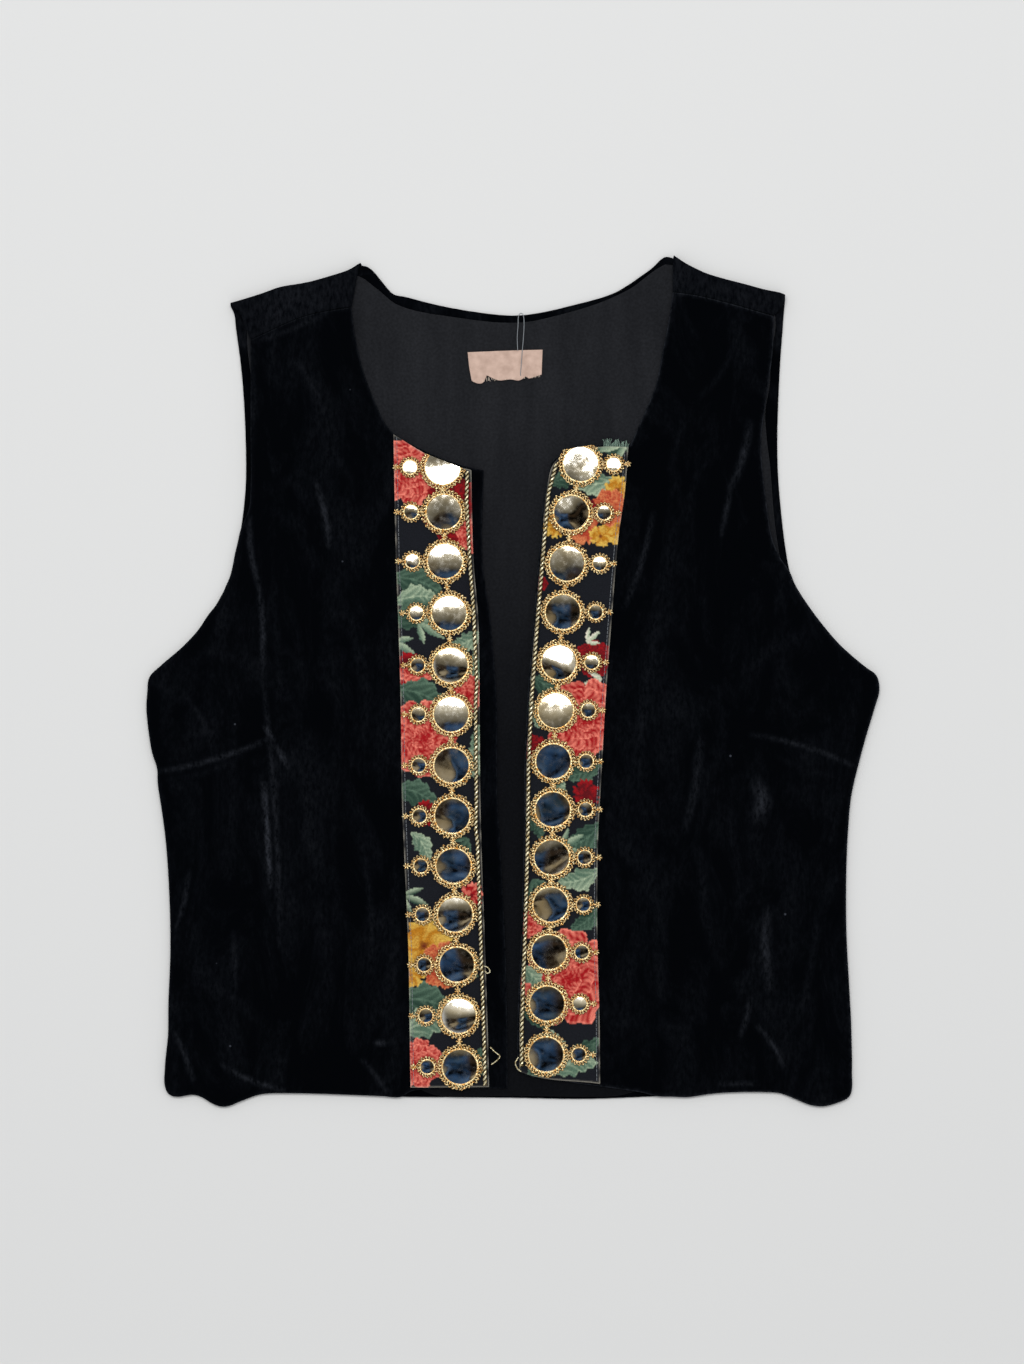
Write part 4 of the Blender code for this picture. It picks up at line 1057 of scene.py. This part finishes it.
strands = add(twist_group, "GeometryNodeJoinGeometry")
for phase in (0.0, math.pi):
    here = add(twist_group, "ShaderNodeMath", {0: angle.outputs[0], 1: phase}).outputs[0]
    parts = []
    for direction, operation in ((normal, "COSINE"), (side_way, "SINE")):
        swing = add(twist_group, "ShaderNodeMath", {0: here}, operation=operation)
        reach = add(twist_group, "ShaderNodeMath", {0: swing.outputs[0], 1: given["Offset"]},
                    operation="MULTIPLY")
        parts.append(add(twist_group, "ShaderNodeVectorMath", {
            0: direction, "Scale": reach.outputs[0]}, operation="SCALE").outputs[0])
    away = add(twist_group, "ShaderNodeVectorMath", {0: parts[0], 1: parts[1]})
    moved = add(twist_group, "GeometryNodeSetPosition", {
        "Geometry": route.outputs["Curve"], "Offset": away.outputs[0]})
    strand = add(twist_group, "GeometryNodeCurveToMesh", {
        "Curve": moved.outputs["Geometry"], "Profile Curve": profile.outputs["Curve"],
        "Fill Caps": True})
    twist_group.links.new(strand.outputs["Mesh"], strands.inputs[0])
close_group(twist_group, strands.outputs[0], gold)
print(rim_group.name, twist_group.name)

# %% [markdown]
# The centre of each large mirror is the highest point of its solid, also where the top
# one is cut off by the band's edge. The small mirror lies a fixed way further out, and
# a little knot beyond it. Another knot sits halfway between two large mirrors.
# %% Mirror places
LARGE_TO_SMALL, SMALL_TO_KNOT = 20.6 * MM, 8.9 * MM
LARGE_RADIUS, SMALL_RADIUS = 11.3 * MM, 4.6 * MM
THREAD_FLOOR = 6.5 * MM    # just above the band


def mirror_nodes(side):
    """The mirror solids of one band, top to bottom."""
    return sorted(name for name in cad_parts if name.startswith(f"mirror_{side}_"))


def summit(node):
    """The highest point of a solid."""
    return max((v.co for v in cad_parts[node].data.vertices), key=lambda co: co.z)


large, small, knots = {}, {}, {}
for side in SIDES:
    out = OUTWARD[side]
    large[side] = [tuple(summit(node).xy) for node in mirror_nodes(side)]
    small[side] = [(x + out * LARGE_TO_SMALL, y) for x, y in large[side]]
    knots[side] = [(x + out * SMALL_TO_KNOT, y) for x, y in small[side]]
    knots[side] += [((x0 + x1) / 2, (y0 + y1) / 2)
                    for (x0, y0), (x1, y1) in zip(large[side], large[side][1:])]
    print(side, "mirrors", len(large[side]), "knots", len(knots[side]))

# %% [markdown]
# The goldwork of one band is all its rings, rims, knots and bridges. The topmost frame
# was stitched before the band's end was turned under, so the fold cuts it straight
# off: one cut through the mesh, with the cut threads closed again.
# Rows: stitches, foot, crown, tip and thread radius, in millimetres from a centre.
# %% Goldwork
LARGE_ROWS = (
    (40, (11.6, -0.7, 0.1), (12.6, -0.2, 2.1), (13.1, 0.8, 0.2), 0.42),
    (38, (12.5, 0.9, 0.0), (13.7, 0.0, 1.7), (14.0, -1.0, 0.1), 0.42),
    (33, (13.1, -0.8, 0.0), (15.5, 0.0, 1.2), (13.1, 0.8, 0.0), 0.38))
SMALL_ROWS = (
    (20, (4.9, -0.5, 0.1), (5.7, -0.1, 1.7), (6.2, 0.6, 0.2), 0.38),
    (17, (5.6, -0.75, 0.0), (7.9, 0.0, 1.2), (5.6, 0.75, 0.0), 0.38))
KNOT_ROWS = ((6, (0.2, 0.0, 0.1), (1.4, 0.9, 2.3), (1.9, 0.2, 0.1), 0.42),)
CUT_LINES = {"left": ((-34.0, 135.6), (-53.9, 143.4)),
             "right": ((45.0, 148.6), (56.4, 150.6))}
BRIDGE = {"Lay": 1.9 * MM, "Offset": 0.36 * MM, "Strand": 0.32 * MM, "Step": 0.4 * MM}
RIM_RAISE, BRIDGE_RAISE = 0.9 * MM, 0.7 * MM
# How far from its centre a frame or knot leaves room: small frames on either side.
LARGE_REACH, SMALL_INNER, SMALL_OUTER, KNOT_REACH = 13.4 * MM, 6.2 * MM, 6.4 * MM, 0.8 * MM


def at_height(points, z):
    """Flat points raised to a height."""
    return [(x, y, z) for x, y in points]


def between(start, end, leave, stop):
    """The stretch between two centres that their frames leave open."""
    a, b = np.array(start), np.array(end)
    unit = (b - a) / np.linalg.norm(b - a)
    return tuple(a + unit * leave), tuple(b - unit * stop)


def cut_off(mesh, side):
    """Cut a mesh along the turned edge of a band's top."""
    (x0, y0), (x1, y1) = CUT_LINES[side]
    across = Vector((y0 - y1, x1 - x0, 0))
    if across.y < 0:
        across = -across
    body = bmesh.new()
    body.from_mesh(mesh)
    bmesh.ops.bisect_plane(body, geom=body.verts[:] + body.edges[:] + body.faces[:],
                           plane_co=Vector((x0, y0, 0)) * MM, plane_no=across.normalized(),
                           clear_outer=True)
    bmesh.ops.holes_fill(body, edges=[e for e in body.edges if e.is_boundary], sides=0)
    body.to_mesh(mesh)
    body.free()


for side in SIDES:
    meshes = []
    for centres, rows in ((large, LARGE_ROWS), (small, SMALL_ROWS), (knots, KNOT_ROWS)):
        for seed, (count, foot, crown, tip, thread) in enumerate(rows):
            meshes.append(run_group(
                ring_group, ring_sockets, at_height(centres[side], THREAD_FLOOR), [], {
                    "Stitches": count, "Foot": [v * MM for v in foot],
                    "Crown": [v * MM for v in crown], "Tip": [v * MM for v in tip],
                    "Thread": thread * MM, "Seed": seed}))
    for centres, radius, thread in ((large, LARGE_RADIUS, 0.62), (small, SMALL_RADIUS, 0.5)):
        meshes.append(run_group(rim_group, rim_sockets,
                                at_height(centres[side], THREAD_FLOOR + RIM_RAISE), [],
                                {"Radius": radius, "Thread": thread * MM}))
    spans = [between(a, b, LARGE_REACH, LARGE_REACH)
             for a, b in zip(large[side], large[side][1:])]
    spans += [between(a, b, LARGE_REACH, SMALL_INNER)
              for a, b in zip(large[side], small[side])]
    spans += [between(a, b, SMALL_OUTER, KNOT_REACH)
              for a, b in zip(small[side], knots[side])]
    points = [end for span in spans for end in span]
    edges = [(2 * k, 2 * k + 1) for k in range(len(spans))]
    meshes.append(run_group(twist_group, twist_sockets,
                            at_height(points, THREAD_FLOOR + BRIDGE_RAISE), edges, BRIDGE))
    piece = one_piece(f"gold_embroidery_{side}", meshes, gold)
    cut_off(piece.data, side)
    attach(piece, "root")
    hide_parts(f"goldwork_{side}")
    print(piece.name, len(piece.data.polygons), "faces")

# %% [markdown]
# Each mirror is a thin disc, slightly domed, tilted and buckled in its own way, because
# that is what makes one gleam white while its neighbour stays dark. The waves are sums
# of sines with a fixed seed. The back is flat, and the edge hides in the frame.
# %% Mirrors
RINGS, SPOKES = 12, 48


def disc(centre, radius, dome, tilt, waves):
    """A closed, buckled disc. Gives its points and faces."""
    x0, y0 = centre
    points, faces = [], []
    for k in range(RINGS + 1):
        share = k / RINGS
        for s in range(SPOKES if k else 1):
            angle = FULL_TURN * s / SPOKES
            u, v = share * math.cos(angle), share * math.sin(angle)
            z = dome * (1 - share * share) + radius * (tilt[0] * u + tilt[1] * v)
            z += sum(size * math.sin(a * u + b * v + phase) for size, a, b, phase in waves)
            points.append((x0 + radius * u, y0 + radius * v, MIRROR_FACE + z))
    for s in range(SPOKES):
        t = (s + 1) % SPOKES
        faces.append((0, 1 + s, 1 + t))
        for k in range(1, RINGS):
            near, far = 1 + (k - 1) * SPOKES, 1 + k * SPOKES
            faces.append((near + s, far + s, far + t, near + t))
    rim, back = 1 + (RINGS - 1) * SPOKES, len(points)
    for s in range(SPOKES):
        x, y, _ = points[rim + s]
        points.append((x, y, MIRROR_BACK))
    for s in range(SPOKES):
        t = (s + 1) % SPOKES
        faces.append((rim + s, back + s, back + t, rim + t))
    faces.append(tuple(back + s for s in reversed(range(SPOKES))))
    return points, faces


MIRROR_FACE, MIRROR_BACK = 7.1 * MM, 6.15 * MM
# How each large mirror lies, top to bottom: lean across, lean towards the light, dome
# (slopes and shares of the radius) and how much it is buckled.
LIE = {
    "left": ((0.02, 0.045, -0.05, 0.6), (-0.03, 0.0, 0.03, 5.0), (0, 0.024, 0.04, 0.8),
             (0, 0.038, 0.044, 0.6), (-0.01, -0.015, 0.09, 2.0), (-0.01, 0.045, 0.041, 0.5),
             (-0.03, -0.04, 0.03, 1.6), (-0.03, -0.03, 0.035, 1.5), (0, -0.04, 0.04, 2.5),
             (0.04, 0.0, 0.07, 0.8), (0.05, -0.02, 0.03, 2.0), (-0.02, 0.05, 0.09, 4.0),
             (0.03, 0, 0.04, 1.5)),
    "right": ((0.03, 0.03, 0.04, 3.0), (0.05, -0.05, 0.04, 2.6), (0.02, 0, 0.03, 2.5),
              (0, -0.05, 0.05, 4.0), (0.02, 0.05, 0.07, 5.0), (0, 0.07, 0.03, 0.8),
              (0, -0.04, 0.03, 2.4), (0.01, -0.035, 0.04, 3.0), (0.07, -0.02, 0.04, 3.4),
              (-0.04, -0.01, 0.05, 3.6), (0.06, -0.01, 0.03, 3.0), (0, -0.02, 0.04, 3.0),
              (0, -0.005, 0.035, 1.5)),
}
# The lean of each small mirror towards the light. They are all as domed and as buckled.
SMALL_LEAN = {
    "left": (0.09, -0.01, 0.035, 0.04, -0.03, 0.01, -0.03, -0.03, -0.04, -0.01, -0.02, 0.01,
             -0.01),
    "right": (0.09, -0.02, 0.03, -0.03, 0.03, -0.01, -0.03, -0.02, -0.02, -0.02, -0.01, 0.09,
              -0.01),
}
SMALL_DOME, SMALL_BUCKLE = 0.05, 1.0
chance = np.random.default_rng(7)
for side in SIDES:
    for kind, centres, radius in (("large", large, 11.2 * MM), ("small", small, 4.7 * MM)):
        whole = bmesh.new()
        for number, centre in enumerate(centres[side]):
            lean_x, lean_y, dome, buckle = LIE[side][number]
            if kind == "small":
                lean_y, dome, buckle = SMALL_LEAN[side][number], SMALL_DOME, SMALL_BUCKLE
            waves = [(radius * buckle * chance.uniform(0.001, 0.004), chance.uniform(-3.5, 3.5),
                      chance.uniform(-3.5, 3.5), chance.uniform(0, FULL_TURN))
                     for _ in range(3)]
            mesh = bpy.data.meshes.new("disc")
            points, faces = disc(centre, radius, radius * dome, (-lean_x, -lean_y), waves)
            mesh.from_pydata(points, [], faces)
            if kind == "large" and number == 0:
                cut_off(mesh, side)
            whole.from_mesh(mesh)
        mesh = bpy.data.meshes.new(f"mirrors_{kind}_{side}")
        whole.to_mesh(mesh)
        whole.free()
        piece = one_piece(f"mirrors_{kind}_{side}", [mesh], foil)
        piece.data.set_sharp_from_angle(angle=math.radians(50))
        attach(piece, "root")
        if kind == "large":
            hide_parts(*mirror_nodes(side))
        print(piece.name, len(piece.data.polygons), "faces")

# %% [markdown]
# A twisted gold cord covers each band's inner edge. Its route is the middle line of the
# solid, found as the mean of each ring of points along it.
# %% Edge cords
RING_GAP = 2 * MM
CORD = {"Lay": 6.3 * MM, "Offset": 0.78 * MM, "Strand": 0.66 * MM, "Step": 0.6 * MM}
for side in SIDES:
    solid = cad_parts[f"edge_cord_{side}"].data
    points = np.array(sorted((tuple(v.co) for v in solid.vertices), key=lambda p: p[1]))
    splits = np.nonzero(np.diff(points[:, 1]) > RING_GAP)[0] + 1
    middle = [group.mean(axis=0) for group in np.split(points, splits)]
    edges = [(k, k + 1) for k in range(len(middle) - 1)]
    made = run_group(twist_group, twist_sockets, middle, edges, CORD)
    piece = one_piece(f"gold_cord_{side}", [made], cord_gold)
    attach(piece, "root")
    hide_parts(f"edge_cord_{side}")
    print(piece.name, len(middle), "points on its route")

# %% [markdown]
# The neck label is a plain scrap of cream ribbon, torn along its lower edge. It is laid
# as the other cloths are.
# %% Neck label
piece, area, *_ = lay_cloth("label", "ribbon_label", ribbon, pitch=0.9 * MM,
                            thickness=0.8 * MM, rounds=2)
declare(piece, "label")

# %% [markdown]
# Machine stitches hold each band's outer fold. The group lays one short arch of thread
# at even steps along a path and turns it along the path.
# %% Group for a run of stitches
seam_group, given, seam_sockets = new_group("run_of_stitches", {
    "Pitch": "NodeSocketFloat", "Start": "NodeSocketVector", "Middle": "NodeSocketVector",
    "End": "NodeSocketVector", "Thread": "NodeSocketFloat"})
arch = add(seam_group, "GeometryNodeCurveQuadraticBezier", {
    "Resolution": 4, "Start": given["Start"], "Middle": given["Middle"], "End": given["End"]})
profile = add(seam_group, "GeometryNodeCurvePrimitiveCircle", {
    "Resolution": 5, "Radius": given["Thread"]})
stitch = add(seam_group, "GeometryNodeCurveToMesh", {
    "Curve": arch.outputs["Curve"], "Profile Curve": profile.outputs["Curve"],
    "Fill Caps": True})
route = add(seam_group, "GeometryNodeMeshToCurve", {"Mesh": given["Geometry"]})
steps = add(seam_group, "GeometryNodeCurveToPoints", {
    "Curve": route.outputs["Curve"], "Length": given["Pitch"]}, mode="LENGTH")
along = add(seam_group, "FunctionNodeAlignRotationToVector", {
    "Vector": steps.outputs["Tangent"]}, axis="X")
run = add(seam_group, "GeometryNodeInstanceOnPoints", {
    "Points": steps.outputs["Points"], "Instance": stitch.outputs["Mesh"],
    "Rotation": along.outputs["Rotation"]})
close_group(seam_group, run.outputs["Instances"], grey_thread)
print(seam_group.name, len(seam_group.nodes), "nodes")

# %% [markdown]
# The stitch line runs a little inside the band's outer edge, which is read from the
# solid's rim at even heights.
# %% Seam stitches
BAND_TOP_Z = 6.1 * MM
STITCH_INSET, STITCH_PITCH, STITCH_LENGTH = 2.1 * MM, 2.6 * MM, 2.0 * MM
END_CLEARANCE = 3 * MM


def crossings(ring, y):
    """Where an outline crosses a height."""
    found = []
    for a, b in zip(ring, np.roll(ring, -1, axis=0)):
        if (a[1] > y) != (b[1] > y):
            found.append(a[0] + (y - a[1]) * (b[0] - a[0]) / (b[1] - a[1]))
    return found


def outer_edge(side):
    """The outer edge of a band from top to bottom, moved in to its stitch line."""
    ring, out = band_rims[side], OUTWARD[side]
    corner = ring[np.argmax(ring[:, 1])]
    heights = np.linspace(corner[1] - END_CLEARANCE, ring[:, 1].min() + END_CLEARANCE, 60)
    return [(max(crossings(ring, y), key=lambda x: out * x) - out * STITCH_INSET, y)
            for y in heights]


for side in SIDES:
    line = at_height(outer_edge(side), BAND_TOP_Z)
    edges = [(k, k + 1) for k in range(len(line) - 1)]
    made = run_group(seam_group, seam_sockets, line, edges, {
        "Pitch": STITCH_PITCH, "Start": (-STITCH_LENGTH / 2, 0.0, -0.0001),
        "Middle": (0.0, 0.0, 0.0005), "End": (STITCH_LENGTH / 2, 0.0, -0.0001),
        "Thread": 0.16 * MM})
    piece = one_piece(f"band_stitches_{side}", [made], grey_thread)
    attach(piece, "root")
    print(piece.name, len(piece.data.polygons), "faces")

# %% [markdown]
# Loose thread is part of how the vest looks: a hanging loop at the back neck that falls
# over the label, two free ends of gold cord, and cut cloth that has frayed. Each is a
# thin two-ply yarn along a short route of given points, in millimetres.
# %% Loose threads
NECK_LOOP = ((2.9, 209, 4.6), (2.6, 217, 3.3), (3.1, 225, 3.4), (3.4, 230.6, 3.6),
             (4.9, 232.6, 3.5), (6.5, 231, 3.6), (6.9, 225, 3.4), (6.4, 216, 3.4), (5.8, 209, 4.6), (5.2, 201, 4.6),
             (4.7, 194.5, 4.6), (4.9, 192.6, 3.6))
GOLD_ENDS = {
    "left": (((-18, -178.5, 8.2), (-15.6, -179.6, 8.4), (-14.6, -182, 8.0), (-16.4, -183, 7.8),
              (-17.8, -181.5, 8.2)),
             ((-14.4, -229.5, 7.2), (-11.7, -232.4, 6.6), (-8.4, -235.4, 5.6),
              (-10.6, -238.4, 5.5), (-13.8, -240.6, 6.6))),
    "right": (((3.2, -236, 7.4), (1.4, -239.5, 6.0), (2.6, -243, 5.4), (5.0, -245, 6.2)),)}
NECK_YARN = {"Lay": 1.8 * MM, "Offset": 0.12 * MM, "Strand": 0.16 * MM, "Step": 0.3 * MM}
GOLD_YARN = {"Lay": 1.6 * MM, "Offset": 0.2 * MM, "Strand": 0.22 * MM, "Step": 0.3 * MM}
FRAY_YARN = {"Lay": 1.4 * MM, "Offset": 0.06 * MM, "Strand": 0.09 * MM, "Step": 0.5 * MM}


def smooth_route(route, steps=8):
    """A smooth curve through given points, in metres."""
    points = np.array([route[0], *route, route[-1]], float) * MM
    out = []
    for a, b, c, d in zip(points, points[1:], points[2:], points[3:]):
        for t in np.arange(steps) / steps:
            out.append(0.5 * (2 * b + (c - a) * t + (2 * a - 5 * b + 4 * c - d) * t * t
                              + (3 * b - a - 3 * c + d) * t**3))
    return [*out, points[-1]]


def yarns(name, routes, yarn, finish):
    """One piece of twisted yarn for several routes."""
    points, edges = [], []
    for route in routes:
        line = smooth_route(route)
        edges += [(len(points) + k, len(points) + k + 1) for k in range(len(line) - 1)]
        points += line
    made = run_group(twist_group, twist_sockets, points, edges, yarn)
    piece = one_piece(name, [made], finish)
    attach(piece, "root")
    print(name, len(routes), "yarns,", len(piece.data.polygons), "faces")


def frays(start, end, count, reach, z, seed):
    """Short cut ends that stand out from a raw edge between two points."""
    draw = np.random.default_rng(seed)
    (x0, y0), (x1, y1) = start, end
    length = math.hypot(x1 - x0, y1 - y0)
    out = np.array((-(y1 - y0), x1 - x0)) / length
    routes = []
    for share in (np.arange(count) + draw.uniform(0.1, 0.9, count)) / count:
        foot = np.array((x0 + share * (x1 - x0), y0 + share * (y1 - y0)))
        tall = reach * draw.uniform(0.35, 1.0)
        lean = draw.normal(0, 0.35) * tall
        side_way = np.array((out[1], -out[0])) * lean
        tip = foot + out * tall + side_way
        bend = foot + out * tall * 0.55 + side_way * 0.2
        routes.append(((*(foot - out * 1.0), z), (*foot, z + 0.2),
                       (*bend, z + draw.uniform(0.1, 0.6)), (*tip, z + draw.uniform(0, 0.9))))
    return routes


sage_thread = thread_finish("sage_cotton_thread", "#3c5c50", "#9db8a4")
cream_thread = thread_finish("cream_cotton_thread", "#b9a58e", "#eadccb")
yarns("neck_thread", [NECK_LOOP], NECK_YARN, grey_thread)
for side in SIDES:
    yarns(f"gold_ends_{side}", GOLD_ENDS[side], GOLD_YARN, end_gold)
yarns("frayed_band_right", frays((57, 149.0), (72.4, 148.4), 34, 5.0, 5.7, 3), FRAY_YARN,
      sage_thread)
yarns("frayed_label", frays((17.5, 193.6), (-24.5, 190.4), 36, 1.6, 3.7, 4), FRAY_YARN,
      cream_thread)

# %% [markdown]
# A pale floor, and a camera straight above it, as the photograph was taken. A long lens
# from over two metres keeps the flat garment free of perspective.
# %% Floor and camera
floor_mesh = bpy.data.meshes.new("floor")
HALF, FLOOR_Z = 3.0, -0.5 * MM
corners = ((-HALF, -HALF), (HALF, -HALF), (HALF, HALF), (-HALF, HALF))
floor_mesh.from_pydata(at_height(corners, FLOOR_Z), [], [(0, 1, 2, 3)])
floor_finish, tree, shader = new_finish("matte_paper", {"Roughness": 1.0,
                                                        "Specular IOR Level": 0.0})
shader.inputs["Base Color"].default_value = linear("#d1d1d0")
floor_mesh.materials.append(floor_finish)
floor = bpy.data.objects.new("floor", floor_mesh)
bpy.context.scene.collection.objects.link(floor)

CAMERA_HEIGHT = 2.304
FRAME_HEIGHT = 0.8593      # 1364 pixels of 0.63 mm
PICTURE_PLANE = 4 * MM     # the height at which the frame is that high
SENSOR = 36.0
camera_data = bpy.data.cameras.new("camera")
camera_data.sensor_width = SENSOR
camera_data.lens = SENSOR * (CAMERA_HEIGHT - PICTURE_PLANE) / FRAME_HEIGHT
camera = bpy.data.objects.new("camera", camera_data)
camera.location = (-0.0007, 0.0002, CAMERA_HEIGHT)
bpy.context.scene.collection.objects.link(camera)
bpy.context.scene.camera = camera
print("lens", round(camera_data.lens, 1), "mm")

# %% [markdown]
# The mirrors show what is above the camera, so the light is planned for them: one long
# softbox stands towards the top of the picture and gives the white gleam on their upper
# parts. The ceiling beside it falls off from cream to brown. Beyond that it is dim: blue
# in the middle and brown at both sides, each broken up by darker shapes, so a mirror's
# lean decides which of them it shows.
# %% Light
softbox_data = bpy.data.lights.new("softbox", "AREA")
softbox_data.shape = "RECTANGLE"
softbox_data.size, softbox_data.size_y = 2.4, 0.9
softbox_data.energy = 70
softbox = bpy.data.objects.new("softbox", softbox_data)
softbox.location = (-0.1, 1.04, 3.2)
softbox.rotation_euler = (math.radians(-16), 0, 0)
softbox.visible_camera = False
bpy.context.scene.collection.objects.link(softbox)

world = bpy.data.worlds.new("studio")
world.use_nodes = True
bpy.context.scene.world = world
tree = world.node_tree
background = tree.nodes["Background"]
direction = add(tree, "ShaderNodeTexCoord").outputs["Generated"]
height = add(tree, "ShaderNodeSeparateXYZ", {"Vector": direction}).outputs["Z"]
overhead = add(tree, "ShaderNodeMapRange", {"Value": height, "From Min": 0.9,
                                            "From Max": 0.955},
               interpolation_type="SMOOTHSTEP")
long_way = add(tree, "ShaderNodeMapping", {
    "Vector": direction, "Rotation": (0.0, 0.0, 0.5), "Scale": (3.0, 7.0, 1.0)})
beams = add(tree, "ShaderNodeTexNoise", {"Vector": long_way.outputs["Vector"], "Scale": 1.6,
                                         "Detail": 1.5, "Distortion": 0.3}).outputs["Fac"]


def tones(value, stops):
    """Colours along a ramp. Each stop is a place from 0 to 1 and a colour."""
    ramp = add(tree, "ShaderNodeValToRGB", {"Fac": value})
    for _ in stops[2:]:
        ramp.color_ramp.elements.new(0.5)
    for stop, (position, code) in zip(ramp.color_ramp.elements, stops):
        stop.position, stop.color = position, linear(code)
    return ramp.outputs["Color"]


blue = tones(beams, ((0.36, "#0b0d12"), (0.46, "#2e4a70"), (0.54, "#587294"),
                     (0.59, "#171d27"), (0.68, "#7d7462")))
brown = tones(beams, ((0.38, "#0d0b09"), (0.48, "#41352a"), (0.55, "#1a1512"),
                      (0.63, "#a4977e")))
way = add(tree, "ShaderNodeSeparateXYZ", {"Vector": direction})
aside = add(tree, "ShaderNodeMath", {0: way.outputs["X"]}, operation="ABSOLUTE")
aside = add(tree, "ShaderNodeMapRange", {"Value": aside.outputs[0], "From Min": 0.07,
                                         "From Max": 0.13}, interpolation_type="SMOOTHSTEP")
dim = add(tree, "ShaderNodeMix", {0: aside.outputs["Result"], MIX_A: blue, MIX_B: brown},
          data_type="RGBA")
forward = add(tree, "ShaderNodeMapRange", {"Value": way.outputs["Y"], "From Min": -0.05,
                                           "From Max": 0.2})
cream = tones(forward.outputs["Result"], ((0.15, "#4a463b"), (0.5, "#8d8675"),
                                          (0.72, "#d2cab4"), (0.88, "#fffaec")))
near_light = add(tree, "ShaderNodeMapRange", {"Value": way.outputs["Y"], "From Min": -0.03,
                                              "From Max": 0.03},
                 interpolation_type="SMOOTHSTEP")
ceiling = add(tree, "ShaderNodeMix", {0: near_light.outputs["Result"],
                                      MIX_A: dim.outputs[MIX_RESULT],
                                      MIX_B: cream}, data_type="RGBA")
sky = add(tree, "ShaderNodeMix", {0: overhead.outputs["Result"], MIX_A: linear("#eef0f3"),
                                  MIX_B: ceiling.outputs[MIX_RESULT]}, data_type="RGBA")
tree.links.new(sky.outputs[MIX_RESULT], background.inputs["Color"])
background.inputs["Strength"].default_value = 0.8
bpy.context.scene.view_settings.view_transform = "Standard"
print("lights ready")
